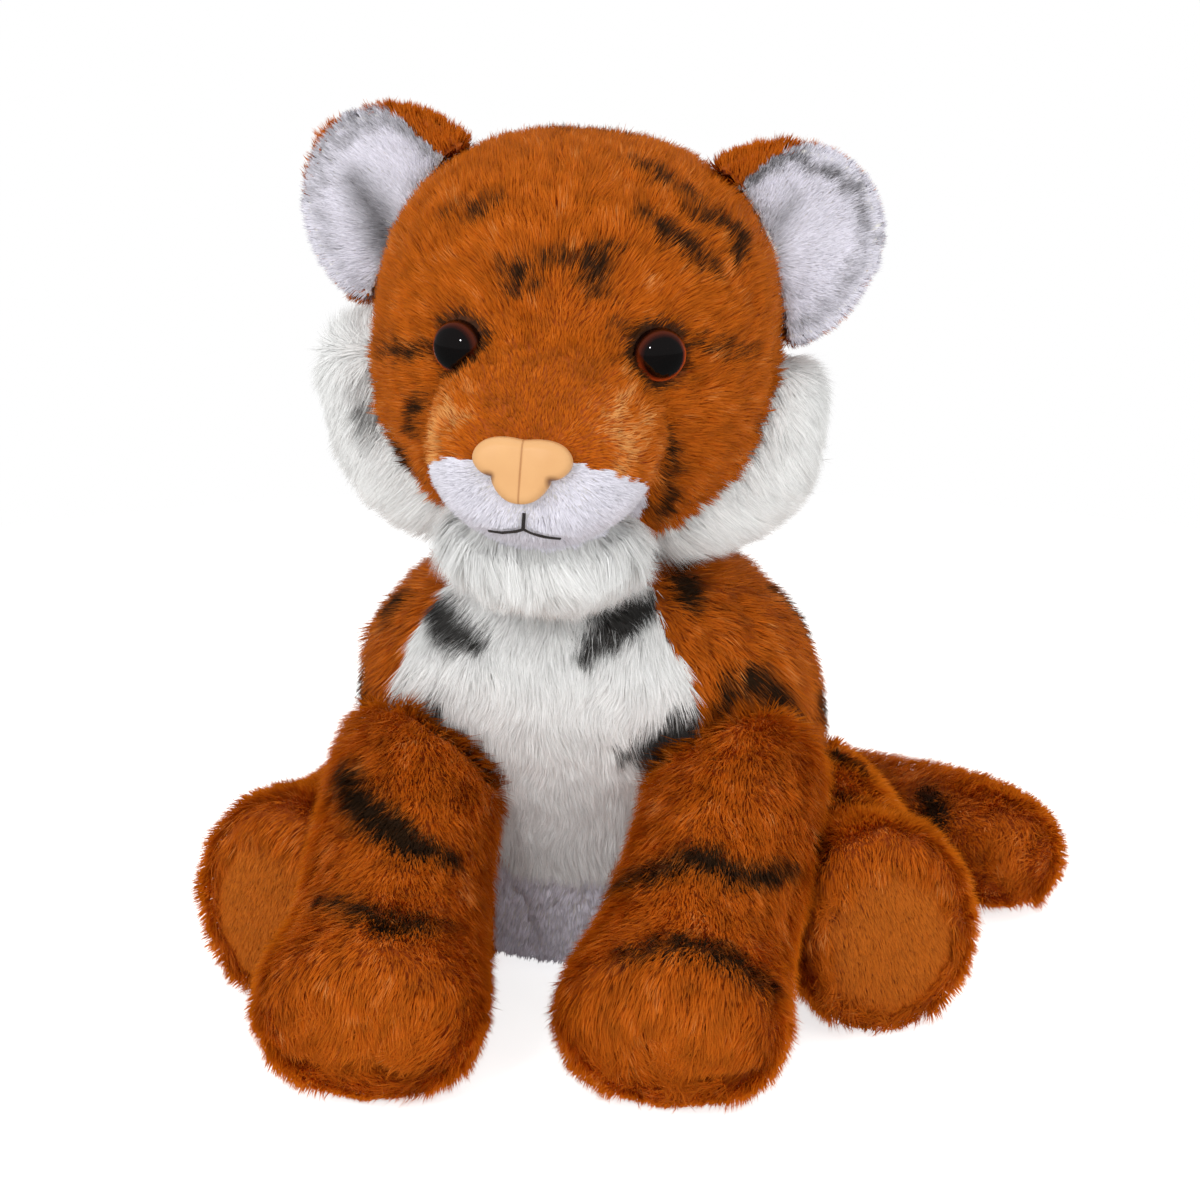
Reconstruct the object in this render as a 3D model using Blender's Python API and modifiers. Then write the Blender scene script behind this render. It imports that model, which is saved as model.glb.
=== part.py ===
"""A seated plush tiger cub: sewn covers over fibre filling, with moulded eyes and nose.

Metres, +Z up. The toy faces -Y and sits on the floor, z = 0, with the middle of its seat near the
origin. Its own left is +X. Names ending in _l and _r are the toy's left and right.
"""

import math

import bmesh
import bpy
from mathutils import Matrix, Vector
from mathutils.bvhtree import BVHTree

# Cloth and fits
SKIN = 0.003  # plush backing with the dense foot of its pile
CLEARANCE = 0.0003  # between pieces that touch, and along seams
FILLING_GAP = 0.0005  # between a limb's filling and its cover
SWING_CLEARANCE = 0.0009  # between a limb and what it swings past
FLOOR_CUT = 0.0005  # how deep the filling flattens where the toy rests
OVERRUN = 0.010  # how far cutters run past what they cut
WELD = 0.000003  # points nearer than this become one

# Body, a pear that is widest low down
BODY_HEIGHT = 0.1420
BODY_HALF_WIDTH = 0.0740
BODY_HALF_DEPTH = 0.0640
BODY_CENTRE_Y = 0.0180
BODY_BASE_HALF_WIDTH = 0.0500
BODY_NECK_HALF_WIDTH = 0.0240
# Height, half width, centre's y and half depth as shares of the four sizes above
BODY_SECTION_SHARES = (
    (0.045, 0.86, 0.62, 0.82),
    (0.21, 0.98, 1.10, 0.98),
    (0.43, 1.00, 0.86, 1.00),
    (0.62, 1.01, 0.28, 0.98),
    (0.77, 0.95, -0.10, 0.89),
    (0.90, 0.71, -0.16, 0.70),
)

# Chest panel: half its width at each height, as shares, and how far back it reaches
BIB_HALF_WIDTH = 0.0500
BIB_RISE = 0.0060  # how far its outline runs past the body's top
BIB_TOP = BODY_HEIGHT + BIB_RISE
BIB_BOTTOM = 0.0440
BIB_BACK_Y = -0.0120
BIB_OUTLINE_SHARES = (
    (0.66, 1.00),
    (0.98, 0.72),
    (1.00, 0.50),
    (0.86, 0.30),
    (0.55, 0.13),
    (0.30, 0.00),
)
BELLY_HALF_WIDTH = 0.0240
BELLY_BACK_Y = 0.0420

# Pellet bag in the seat
PELLET_BAG_HALF_WIDTH = 0.0520
PELLET_BAG_HALF_DEPTH = 0.0440
PELLET_BAG_TOP = 0.0340
PELLET_BAG_CENTRE_Y = 0.0220

# Neck, a firm ball that the head turns and nods on. It turns on the body on its flat base, and
# the head nods between its flat cheeks.
NECK_SINK = 0.0030  # how far its middle lies below the body's top
NECK_PLACE = Vector((-0.0020, 0.0020, BODY_HEIGHT - NECK_SINK))
NECK_RADIUS = 0.0240
NECK_BASE_SHARE = 0.72  # how far below the ball's middle its base is, in radii
NECK_CHEEK_SHARE = 0.80  # how far to each side its cheeks are, in radii
NECK_SEGMENTS = 16  # round it, and half as many from top to bottom

# Head, placed by its middle, with the tilt and turn of the photo
HEAD_LIFT = 0.0590  # how far its middle lies above the body's top
HEAD_PLACE = Vector((-0.0030, -0.0060, BODY_HEIGHT + HEAD_LIFT))
HEAD_TURN = math.radians(6.0)
HEAD_TILT = math.radians(4.5)
HEAD_HALF_WIDTH = 0.0640
HEAD_HALF_DEPTH = 0.0620
HEAD_TOP = 0.0670
HEAD_BOTTOM = 0.0590
HEAD_CROWN_HALF_WIDTH = 0.0200
HEAD_JAW_HALF_WIDTH = 0.0280
# Height as a share of the top or the bottom, then half width, centre's y and half depth as shares
HEAD_SECTION_SHARES = (
    (-0.80, 0.76, -0.03, 0.72),
    (-0.36, 0.96, -0.05, 0.95),
    (0.08, 1.00, -0.04, 1.02),
    (0.50, 0.95, -0.04, 0.98),
    (0.82, 0.72, -0.02, 0.76),
)

# Muzzle and chin, measured from the middle of the head
MUZZLE_HALF_WIDTH = 0.0335
MUZZLE_HALF_HEIGHT = 0.0255
MUZZLE_FRONT = 0.0960
MUZZLE_ROOT = 0.0400
MUZZLE_DROP = 0.0210
MUZZLE_SHIFT = -0.0025  # it points a little to the toy's right
# Distance forward, half width, half height and drop, as shares
MUZZLE_SECTION_SHARES = (
    (0.00, 1.04, 1.34, 0.36),
    (0.40, 1.04, 1.20, 0.58),
    (0.72, 0.99, 1.00, 0.90),
    (0.93, 0.72, 0.70, 1.08),
    (1.00, 0.36, 0.34, 1.12),
)
MUZZLE_SEAM_DROP = 0.0135  # where white meets orange at the nose
MUZZLE_SEAM_SLOPE = math.radians(14.0)  # how the seam falls away to both sides
# Right half of the white below the seam: half width and height as shares
MUZZLE_SEAM_SHARES = ((0.86, 0.62), (0.45, 1.0))
CHIN_HALF_WIDTH = 0.0280
CHIN_HALF_HEIGHT = 0.0160
CHIN_HALF_DEPTH = 0.0230
CHIN_PLACE = Vector((0.0, -0.0600, -0.0475))

# Cheek ruffs, a sickle of padding from below each ear to the chin
RUFF_RADIUS = 0.0185
RUFF_REACH = 0.0620
RUFF_HEIGHT = 0.0560
RUFF_DEPTH = 0.0180
# Place along the reach, the depth and the height, then thickness, as shares
RUFF_SPINE_SHARES = (
    (1.06, 0.10, 0.05, 0.50),
    (1.06, 0.10, -0.14, 0.86),
    (1.02, 0.05, -0.40, 1.00),
    (0.86, -0.25, -0.68, 0.98),
    (0.64, -0.80, -0.83, 0.78),
    (0.43, -1.25, -0.92, 0.44),
)

# Ears, cupped half ovals sewn along a slanting line
EAR_BASE_PLACE = Vector((0.0535, 0.0060, 0.0340))
EAR_BASE_SLANT = math.radians(31.0)  # how far the line leans out from upright
EAR_HALF_LENGTH = 0.0320
EAR_REACH = 0.0415
EAR_CUP = 0.0110
EAR_SPREAD = math.radians(104.0)
EAR_SWEEP = math.radians(24.0)  # how far the ear is turned back from square
EAR_FRONT_THICKNESS = 0.0030
EAR_BACK_THICKNESS = 0.0045
EAR_SPOKES = 8
EAR_RING_SHARES = (0.50, 1.0)
EAR_FOLD = (math.radians(-15.0), math.radians(20.0))

# Eyes
EYE_RADIUS = 0.0082
EYE_DOME = 0.0058
EYE_RIM = 0.0012
EYE_SHANK_RADIUS = 0.0020
EYE_SHANK_LENGTH = 0.0120
EYE_PLACE = Vector((0.0315, -0.0600, 0.0098))
EYE_STEP = 0.0018  # the left eye sits this much higher, the right as much lower
EYE_SPLAY = math.radians(22.0)
EYE_SINK = 0.0012
WASHER_RADIUS = 0.0070
WASHER_THICKNESS = 0.0018
WASHER_DEPTH = 0.0060  # from the back of the eye or nose

# Nose, a moulded rounded triangle
NOSE_WIDTH = 0.0320
NOSE_HEIGHT = 0.0212
NOSE_THICKNESS = 0.0060
NOSE_BULGE = 0.0034
NOSE_DROP = 0.0180
NOSE_SHIFT = -0.0015  # from the middle of the muzzle
NOSE_SHANK_RADIUS = 0.0024
NOSE_SHANK_LENGTH = 0.0130
NOSE_GROOVE_RADIUS = 0.0006
NOSE_GROOVE_SHARES = (0.16, -0.70)  # its ends, as shares of the nose's height
NOSTRIL_RADIUS = 0.0017
# Size of the outline, then height as shares of the thickness and of the bulge
NOSE_LAYER_SHARES = (
    (0.90, -0.45, 0.0),
    (1.00, 0.0, 0.0),
    (0.97, 0.40, 0.0),
    (0.70, 0.40, 0.80),
    (0.28, 0.40, 1.0),
)
# Half outline from the middle of the top to the tip, across and up, as shares of width and height
NOSE_OUTLINE_SHARES = (
    (0.00, 0.42),
    (0.22, 0.50),
    (0.43, 0.44),
    (0.50, 0.22),
    (0.40, -0.02),
    (0.23, -0.34),
    (0.00, -0.52),
)
NOSTRIL_PLACE_SHARES = (0.29, -0.10)

# Mouth, thread stitched from the nose down and out to both sides
THREAD_RADIUS = 0.0006
MOUTH_HALF_WIDTH = 0.0105
MOUTH_TOP_DROP = 0.0305
MOUTH_FORK_DROP = 0.0358
MOUTH_CORNER_DROP = 0.0384

# Front legs, from the lower chest forward and down to the paws
FRONT_LEG_X = 0.0440
FRONT_LEG_SHIFT = 0.0060  # both legs lie a little to the toy's left
FRONT_LEG_STEP = 0.0070  # the right paw is this much forward, the left as much back
FRONT_LEG_HALF_WIDTH = 0.0275
FRONT_LEG_HALF_DEPTH = 0.0265
FRONT_LEG_REACH = 0.1220  # from the shoulder forward to the paw's end
FRONT_LEG_DROP = 0.0560  # from the shoulder down to the paw's middle
FRONT_LEG_SPLAY = 0.0070  # how much further out the shoulder is than the paw
SHOULDER_Y = -0.0220
SHOULDER_Z = 0.0820
# Forward, down, outwards, half width and half depth, as shares
FRONT_LEG_SPINE_SHARES = (
    (0.00, 0.00, 0.90, 0.80, 0.72),
    (0.18, 0.12, 1.00, 0.92, 0.94),
    (0.38, 0.38, 0.80, 0.96, 1.00),
    (0.55, 0.64, 0.45, 0.96, 0.98),
    (0.70, 0.85, 0.15, 1.06, 1.00),
    (0.84, 0.95, 0.00, 1.24, 1.04),
    (0.95, 0.99, 0.00, 1.12, 0.94),
    (1.00, 1.00, 0.00, 0.66, 0.56),
)
FRONT_LEG_SWING = math.radians(40.0)

# Hind legs, a full thigh and a foot stretched forward and out along the floor
HIP_PLACE = Vector((0.0440, 0.0360, 0.0360))
HIND_LEG_SHIFT = 0.0040  # both hips lie a little to the toy's left
HIND_LEG_REACH_X = 0.0525
HIND_LEG_REACH_Y = 0.1040
HIND_FOOT_SHIFT = 0.0060  # both feet lie further to the toy's left than the hips
HIND_FOOT_STEP = 0.0080  # the right foot is this much forward, the left as much back
HIND_LEG_RADIUS = 0.0310
# Share of the reach, sideways bulge, half height and half width, as shares
HIND_LEG_SPINE_SHARES = (
    (0.00, 0.00, 0.94, 0.79),
    (0.24, 0.20, 1.14, 0.93),
    (0.46, 0.24, 1.02, 0.86),
    (0.68, 0.15, 0.93, 0.80),
    (0.86, 0.04, 1.06, 0.93),
    (0.99, 0.00, 1.06, 0.92),
    (1.02, 0.00, 0.84, 0.72),
)
SOLE_SHARE = 0.945
SOLE_HALF_WIDTH = 0.0205
SOLE_HALF_HEIGHT = 0.0235
HIND_LEG_SWING = math.radians(22.0)
HIND_LEG_AXIS_TILT = math.radians(42.0)  # so that a lifted foot also moves outwards

# Tail, thick and blunt, curled round to the toy's left
TAIL_ROOT = Vector((0.0080, 0.0640, 0.0220))
TAIL_REACH_X = 0.1360
TAIL_REACH_Y = 0.0280
TAIL_RADIUS = 0.0190
# Along x, along y and thickness, as shares
TAIL_SPINE_SHARES = (
    (0.00, 0.00, 0.80),
    (0.13, 0.66, 0.84),
    (0.34, 1.00, 0.88),
    (0.58, 0.78, 0.97),
    (0.80, 0.06, 1.08),
    (0.95, -0.62, 1.06),
    (1.00, -0.90, 0.60),
)
TAIL_WAG = (math.radians(-6.0), math.radians(30.0))

# Points round a coarse ring: body and head, limbs, and everything inside them
BROAD_POINTS = 10
LIMB_POINTS = 8
INNER_POINTS = 6
SOLE_POINTS = 24
SWING_STEPS = 4

COLOURS = {
    "orange_plush": ("B4591C", 0.95),
    "white_plush": ("E6E4DE", 0.95),
    "pale_short_plush": ("E4E2E8", 0.90),
    "sole_plush": ("B8682C", 0.90),
    "fibre_filling": ("F1F0EC", 1.00),
    "pellet_cloth": ("D9D4C6", 0.90),
    "eye_plastic": ("140B08", 0.08),
    "nose_plastic": ("DDA469", 0.45),
    "washer_plastic": ("EDEDE8", 0.50),
    "black_thread": ("1E1C1A", 0.80),
}


# Scene set-up

for old in list(bpy.data.objects):
    bpy.data.objects.remove(old, do_unlink=True)

PARTS = bpy.data.collections.new("plush_tiger")
CUTTERS = bpy.data.collections.new("cutters")
for collection in (PARTS, CUTTERS):
    bpy.context.scene.collection.children.link(collection)


def linear(value):
    """One sRGB channel as a linear one."""
    return value / 12.92 if value <= 0.04045 else ((value + 0.055) / 1.055) ** 2.4


def make_material(name):
    code, roughness = COLOURS[name]
    colour = [linear(int(code[i : i + 2], 16) / 255) for i in (0, 2, 4)]
    material = bpy.data.materials.new(name)
    material.use_nodes = True
    shader = material.node_tree.nodes["Principled BSDF"]
    shader.inputs["Base Color"].default_value = (*colour, 1)
    shader.inputs["Roughness"].default_value = roughness
    shader.inputs["Metallic"].default_value = 0
    material.diffuse_color = (*colour, 1)
    return material


MATERIALS = {name: make_material(name) for name in COLOURS}


# Shapes

def new_object(name, mesh):
    """An object among the cutters, from which finished pieces are moved later."""
    ob = bpy.data.objects.new(name, mesh)
    CUTTERS.objects.link(ob)
    ob.hide_render = True
    ob.display_type = "WIRE"
    return ob


def from_bmesh(name, bm):
    mesh = bpy.data.meshes.new(name)
    bmesh.ops.recalc_face_normals(bm, faces=bm.faces[:])
    if bm.calc_volume(signed=True) < 0:
        bmesh.ops.reverse_faces(bm, faces=bm.faces[:])
    bm.to_mesh(mesh)
    bm.free()
    return new_object(name, mesh)


def evaluated(name, ob):
    """A new object with ob's modifiers applied, in world coordinates."""
    bpy.context.view_layer.update()
    graph = bpy.context.evaluated_depsgraph_get()
    mesh = bpy.data.meshes.new_from_object(ob.evaluated_get(graph), depsgraph=graph)
    mesh.transform(ob.matrix_world)
    return new_object(name, mesh)


def cage(name, rings, count):
    """A closed coarse cage through rings of (centre, half axis, other half axis), with count points
    in each. The rings are widened by what smoothing takes off, so the smooth form keeps its size.
    """
    kept_share = (2 + math.cos(math.tau / count)) / 3
    bm = bmesh.new()
    loops = []
    for centre, across, along in rings:
        loop = []
        for i in range(count):
            turn = math.tau * (i + 0.5) / count
            offset = (across * math.cos(turn) + along * math.sin(turn)) / kept_share
            loop.append(bm.verts.new(centre + offset))
        loops.append(loop)
    for lower, upper in zip(loops, loops[1:]):
        for i in range(count):
            j = (i + 1) % count
            bm.faces.new((lower[i], lower[j], upper[j], upper[i]))
    bm.faces.new(loops[0])
    bm.faces.new(loops[-1])
    return from_bmesh(name, bm)


def form(name, base, offset=0.0):
    """The smooth form of a cage, swollen or shrunk by offset."""
    smooth = base.modifiers.new("smooth", "SUBSURF")
    smooth.levels = 1
    smooth.render_levels = 1
    base.modifiers.new("triangles", "TRIANGULATE")
    return pushed(name, base, offset)


def pushed(name, base, offset):
    """A new object: base with its surface moved out by offset, or in if that is negative."""
    push = base.modifiers.new("push", "DISPLACE")
    push.mid_level = 0
    push.strength = offset
    result = evaluated(name, base)
    base.modifiers.clear()
    return result


def spine_rings(points, half_sizes, side):
    """Rings square to a spine. half_sizes is (along side, across it) for each point."""
    rings = []
    for i, point in enumerate(points):
        before = points[max(i - 1, 0)]
        after = points[min(i + 1, len(points) - 1)]
        run = (after - before).normalized()
        across = (side - run * side.dot(run)).normalized()
        other = run.cross(across)
        rings.append((point, across * half_sizes[i][0], other * half_sizes[i][1]))
    return rings


def box(name, low, high):
    bm = bmesh.new()
    bmesh.ops.create_cube(bm, size=1)
    size = high - low
    middle = (high + low) / 2
    bmesh.ops.scale(bm, vec=size, verts=bm.verts[:])
    bmesh.ops.translate(bm, vec=middle, verts=bm.verts[:])
    return from_bmesh(name, bm)


def ball(name, centre, radii, segments=16, rings=8):
    bm = bmesh.new()
    bmesh.ops.create_uvsphere(bm, u_segments=segments, v_segments=rings, radius=1)
    bmesh.ops.scale(bm, vec=radii, verts=bm.verts[:])
    bmesh.ops.translate(bm, vec=centre, verts=bm.verts[:])
    return from_bmesh(name, bm)


def rod(name, matrix, radius, near, far, segments=16):
    """A cylinder along matrix's Z axis, from near to far."""
    bm = bmesh.new()
    bmesh.ops.create_cone(
        bm, cap_ends=True, segments=segments, radius1=radius, radius2=radius, depth=far - near
    )
    bmesh.ops.translate(bm, vec=(0, 0, (near + far) / 2), verts=bm.verts[:])
    bm.transform(matrix)
    return from_bmesh(name, bm)


def prism(name, outline, near, far, matrix):
    """An outline of (x, z) points extruded along matrix's Y axis from near to far."""
    bm = bmesh.new()
    face = bm.faces.new([bm.verts.new((x, near, z)) for x, z in outline])
    moved = bmesh.ops.extrude_face_region(bm, geom=[face])["geom"]
    verts = [g for g in moved if isinstance(g, bmesh.types.BMVert)]
    bmesh.ops.translate(bm, vec=(0, far - near, 0), verts=verts)
    bm.transform(matrix)
    return from_bmesh(name, bm)


def lathe(name, profile, matrix, segments=16):
    """A profile of (radius, z) turned round matrix's Z axis. It starts and ends on the axis."""
    bm = bmesh.new()
    verts = [bm.verts.new((r, 0, z)) for r, z in profile]
    edges = [bm.edges.new(pair) for pair in zip(verts, verts[1:])]
    bmesh.ops.spin(
        bm, geom=verts + edges, axis=(0, 0, 1), cent=(0, 0, 0), steps=segments,
        angle=math.tau, use_merge=True
    )
    bmesh.ops.remove_doubles(bm, verts=bm.verts[:], dist=WELD)
    bm.transform(matrix)
    return from_bmesh(name, bm)


def tube(name, points, radius, sides=8):
    """A round thread along points, as a mesh."""
    curve = bpy.data.curves.new(name, "CURVE")
    curve.dimensions = "3D"
    curve.bevel_depth = radius
    curve.bevel_resolution = (sides - 4) // 2
    curve.use_fill_caps = True
    spline = curve.splines.new("POLY")
    spline.points.add(len(points) - 1)
    for slot, point in zip(spline.points, points):
        slot.co = (*point, 1)
    thread = bpy.data.objects.new(name, curve)
    CUTTERS.objects.link(thread)
    result = evaluated(name, thread)
    bpy.data.objects.remove(thread)
    bm = bmesh.new()
    bm.from_mesh(result.data)
    bmesh.ops.remove_doubles(bm, verts=bm.verts[:], dist=WELD)
    bmesh.ops.recalc_face_normals(bm, faces=bm.faces[:])
    bm.to_mesh(result.data)
    bm.free()
    return result


def carve(name, body, *steps, solver="EXACT"):
    """A new object: body after Boolean steps, each ("DIFFERENCE", "UNION" or "INTERSECT", object).

    The MANIFOLD solver is for covers that many near copies cut, which EXACT empties.
    """
    for kind, other in steps:
        cut = body.modifiers.new(kind.lower(), "BOOLEAN")
        cut.operation = kind
        cut.solver = solver
        cut.object = other
    result = evaluated(name, body)
    body.modifiers.clear()
    return result


def minus(name, body, *cutters, solver="EXACT"):
    return carve(name, body, *[("DIFFERENCE", cutter) for cutter in cutters], solver=solver)


def both(name, body, other, solver="EXACT"):
    return carve(name, body, ("INTERSECT", other), solver=solver)


def turned(name, ob, place, axis, angle):
    """A copy of a world-space object, turned about an axis through place."""
    turn = Matrix.Translation(place) @ Matrix.Rotation(angle, 4, axis) @ Matrix.Translation(-place)
    mesh = ob.data.copy()
    mesh.transform(turn)
    return new_object(name, mesh)


def swept(ob, place, axis, low, high):
    """Copies of ob at each step of a swing."""
    steps = [low + (high - low) * i / SWING_STEPS for i in range(SWING_STEPS + 1)]
    return [turned("passed", ob, place, axis, angle) for angle in steps]


def swept_past(neighbour, place, axis, low, high):
    """What a limb that turns about axis has to leave free: its neighbour at each step of the
    swing, as the limb sees it.
    """
    return swept(neighbour, place, axis, -low, -high)


def pivot(name, place, parent=None, rotation=None):
    """An empty on a joint, in world coordinates."""
    empty = bpy.data.objects.new(name, None)
    empty.empty_display_size = CLEARANCE
    PARTS.objects.link(empty)
    empty.matrix_world = Matrix.Translation(place) @ (rotation or Matrix())
    bpy.context.view_layer.update()
    if parent is not None:
        world = empty.matrix_world.copy()
        empty.parent = parent
        empty.matrix_world = world
        bpy.context.view_layer.update()
    return empty


def finish(name, ob, material, parent=None):
    """Makes a carved object the piece called name, on its parent's axis."""
    CUTTERS.objects.unlink(ob)
    PARTS.objects.link(ob)
    ob.name = name
    ob.hide_render = False
    ob.display_type = "TEXTURED"
    if parent is not None:
        ob.data.transform(parent.matrix_world.inverted())
        ob.parent = parent
    ob.data.materials.clear()
    ob.data.materials.append(MATERIALS[material])
    ob.data.shade_smooth()
    ob.data.set_sharp_from_angle(angle=math.radians(40))
    return ob


def soft_cages(name, rings, points, inner_points, rests=False):
    """The cage of a soft form and a coarser one for what is inside it. A form that rests on the
    floor is moved so that it reaches FLOOR_CUT below it.
    """
    bases = cage(name, rings, points), cage(name + "_inner", rings, inner_points)
    if rests:
        lowest = min(v.co.z for v in form("probe", bases[0]).data.vertices)
        for base in bases:
            base.data.transform(Matrix.Translation((0, 0, -FLOOR_CUT - lowest)))
    return bases


# Body

def level_rings(rows, half_width, half_depth, centre_y):
    """Rings on each height, from rows of (height, half width share, centre's share, depth share)."""
    rings = []
    for z, width, shift, depth in rows:
        across = Vector((half_width * width, 0, 0))
        along = Vector((0, half_depth * depth, 0))
        rings.append((Vector((0, centre_y * shift, z)), across, along))
    return rings


def body_cages():
    base_share = BODY_BASE_HALF_WIDTH / BODY_HALF_WIDTH
    neck_share = BODY_NECK_HALF_WIDTH / BODY_HALF_WIDTH
    neck_depth_share = BODY_NECK_HALF_WIDTH / BODY_HALF_DEPTH
    rows = [(0.0, base_share, BODY_SECTION_SHARES[0][2], base_share)]
    rows += [(BODY_HEIGHT * share, *rest) for share, *rest in BODY_SECTION_SHARES]
    rows.append((BODY_HEIGHT, neck_share, 0.0, neck_depth_share))
    rings = level_rings(rows, BODY_HALF_WIDTH, BODY_HALF_DEPTH, BODY_CENTRE_Y)
    return soft_cages("body_cage", rings, BROAD_POINTS, LIMB_POINTS, rests=True)


BODY, BODY_INSIDE = body_cages()
FLOOR_REACH = TAIL_REACH_X + FRONT_LEG_REACH
FLOOR = box(
    "floor",
    Vector((-FLOOR_REACH, -FLOOR_REACH, -OVERRUN)),
    Vector((FLOOR_REACH, FLOOR_REACH, 0)),
)
BODY_GROWN = form("body_grown", BODY, CLEARANCE)
BODY_PASSED = form("body_passed", BODY, SWING_CLEARANCE)


HEAD_ROTATION = Matrix.Rotation(HEAD_TURN, 4, "Z") @ Matrix.Rotation(HEAD_TILT, 4, "Y")


def neck_ball(radius):
    size = Vector((1, 1, 1)) * radius
    return ball("neck_ball", NECK_PLACE, size, NECK_SEGMENTS, NECK_SEGMENTS // 2)


def above_base(ob, gap):
    """The part of ob above the plane of the neck's base, lowered by gap."""
    reach = NECK_RADIUS + OVERRUN
    low = Vector((-reach, -reach, -NECK_RADIUS * NECK_BASE_SHARE - gap))
    tool = box("base_tool", NECK_PLACE + low, NECK_PLACE + Vector((reach, reach, reach)))
    return both("neck_part", ob, tool)


def between_cheeks(ob, gap):
    """The part of ob between the planes of the neck's cheeks, widened by gap."""
    reach = NECK_RADIUS + OVERRUN
    half = NECK_RADIUS * NECK_CHEEK_SHARE + gap
    tool = box("cheek_tool", Vector((-half, -reach, -reach)), Vector((half, reach, reach)))
    tool.data.transform(Matrix.Translation(NECK_PLACE) @ HEAD_ROTATION)
    return both("neck_part", ob, tool)


# The sockets clear the ball's corners however it is turned
NECK_ROOM = neck_ball((NECK_RADIUS + CLEARANCE) / math.cos(math.pi / NECK_SEGMENTS) ** 2)
NECK_IN_BODY = above_base(NECK_ROOM, CLEARANCE)
NECK_IN_HEAD = between_cheeks(NECK_ROOM, CLEARANCE)


def bib_outline(gap):
    """The chest panel's outline, widened by gap."""
    half = []
    for width, height in BIB_OUTLINE_SHARES:
        z = BIB_BOTTOM + (BIB_TOP - BIB_BOTTOM) * height
        half.append((BIB_HALF_WIDTH * width + gap, z - gap if height == 0 else z))
    return half + [(-x, z) for x, z in reversed(half)]


def make_body():
    outer = form("body_outer", BODY)
    hollow = form("body_hollow", BODY_INSIDE, -SKIN)
    shell = minus("body_shell", outer, FLOOR, hollow, NECK_IN_BODY)
    front = -BODY_HALF_DEPTH - OVERRUN
    upright = Matrix()
    bib_tool = prism("bib_tool", bib_outline(0.0), front, BIB_BACK_Y, upright)
    bib_room = prism("bib_room", bib_outline(CLEARANCE), front, BIB_BACK_Y + CLEARANCE, upright)
    belly_tool = box(
        "belly_tool",
        Vector((-BELLY_HALF_WIDTH, front, -OVERRUN)),
        Vector((BELLY_HALF_WIDTH, BELLY_BACK_Y, BIB_BOTTOM - CLEARANCE)),
    )
    room = Vector((CLEARANCE, CLEARANCE, CLEARANCE))
    belly_room = box(
        "belly_room",
        Vector((-BELLY_HALF_WIDTH, front, -OVERRUN)) - room,
        Vector((BELLY_HALF_WIDTH, BELLY_BACK_Y, BIB_BOTTOM)) + room,
    )
    finish("chest_bib", both("bib", shell, bib_tool), "white_plush")
    finish("belly_panel", both("belly", shell, belly_tool), "pale_short_plush")
    finish("back_skin", minus("back", shell, bib_room, belly_room), "orange_plush")

    filling = pushed("body_filling", hollow, -CLEARANCE)
    bag_radii = Vector((PELLET_BAG_HALF_WIDTH, PELLET_BAG_HALF_DEPTH, PELLET_BAG_TOP))
    bag_place = Vector((0, PELLET_BAG_CENTRE_Y, 0))
    bag = ball("bag", bag_place, bag_radii)
    bag_room = ball("bag_room", bag_place, bag_radii + room)
    finish("pellet_bag", both("pellets", filling, bag), "pellet_cloth")
    finish("body_stuffing", minus("stuffing", filling, bag_room, NECK_IN_BODY), "fibre_filling")


make_body()

# Neck
NECK_PIVOT = pivot("neck_turn_axis", NECK_PLACE)
NECK = between_cheeks(above_base(neck_ball(NECK_RADIUS), 0.0), 0.0)
finish("neck_stuffing", NECK, "fibre_filling", NECK_PIVOT)

# Head
HEAD_MATRIX = Matrix.Translation(HEAD_PLACE) @ HEAD_ROTATION
HEAD_PIVOT = pivot("head_nod_axis", NECK_PLACE, NECK_PIVOT, HEAD_ROTATION)


def on_head(base):
    """Moves a shape from the head's own frame to its place."""
    base.data.transform(HEAD_MATRIX)
    return base


def head_cages():
    jaw_share = HEAD_JAW_HALF_WIDTH / HEAD_HALF_WIDTH
    crown_share = HEAD_CROWN_HALF_WIDTH / HEAD_HALF_WIDTH
    rows = [(-HEAD_BOTTOM, jaw_share, 0.0, jaw_share)]
    for share, *rest in HEAD_SECTION_SHARES:
        rows.append((share * (HEAD_TOP if share > 0 else HEAD_BOTTOM), *rest))
    rows.append((HEAD_TOP, crown_share, 0.0, crown_share))
    rings = level_rings(rows, HEAD_HALF_WIDTH, HEAD_HALF_DEPTH, HEAD_HALF_DEPTH)
    return [on_head(base) for base in soft_cages("head_cage", rings, BROAD_POINTS, LIMB_POINTS)]


def muzzle_cages():
    rings = []
    for forward, width, height, drop in MUZZLE_SECTION_SHARES:
        y = -MUZZLE_ROOT - (MUZZLE_FRONT - MUZZLE_ROOT) * forward
        across = Vector((MUZZLE_HALF_WIDTH * width, 0, 0))
        up = Vector((0, 0, MUZZLE_HALF_HEIGHT * height))
        rings.append((Vector((MUZZLE_SHIFT * forward, y, -MUZZLE_DROP * drop)), across, up))
    return [on_head(base) for base in soft_cages("muzzle_cage", rings, BROAD_POINTS, LIMB_POINTS)]


def ruff_cage(sign):
    points = []
    sizes = []
    for reach, depth, height, thick in RUFF_SPINE_SHARES:
        points.append(Vector((sign * RUFF_REACH * reach, RUFF_DEPTH * depth, RUFF_HEIGHT * height)))
        sizes.append((RUFF_RADIUS * thick, RUFF_RADIUS * thick))
    return on_head(cage("ruff_cage", spine_rings(points, sizes, Vector((0, 1, 0))), LIMB_POINTS))


HEAD, HEAD_INSIDE = head_cages()
MUZZLE, MUZZLE_INSIDE = muzzle_cages()
HEAD_GROWN = form("head_grown", HEAD, CLEARANCE)
HEAD_PASSED = form("head_passed", HEAD, SWING_CLEARANCE)
MUZZLE_GROWN = form("muzzle_grown", MUZZLE, CLEARANCE)


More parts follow.
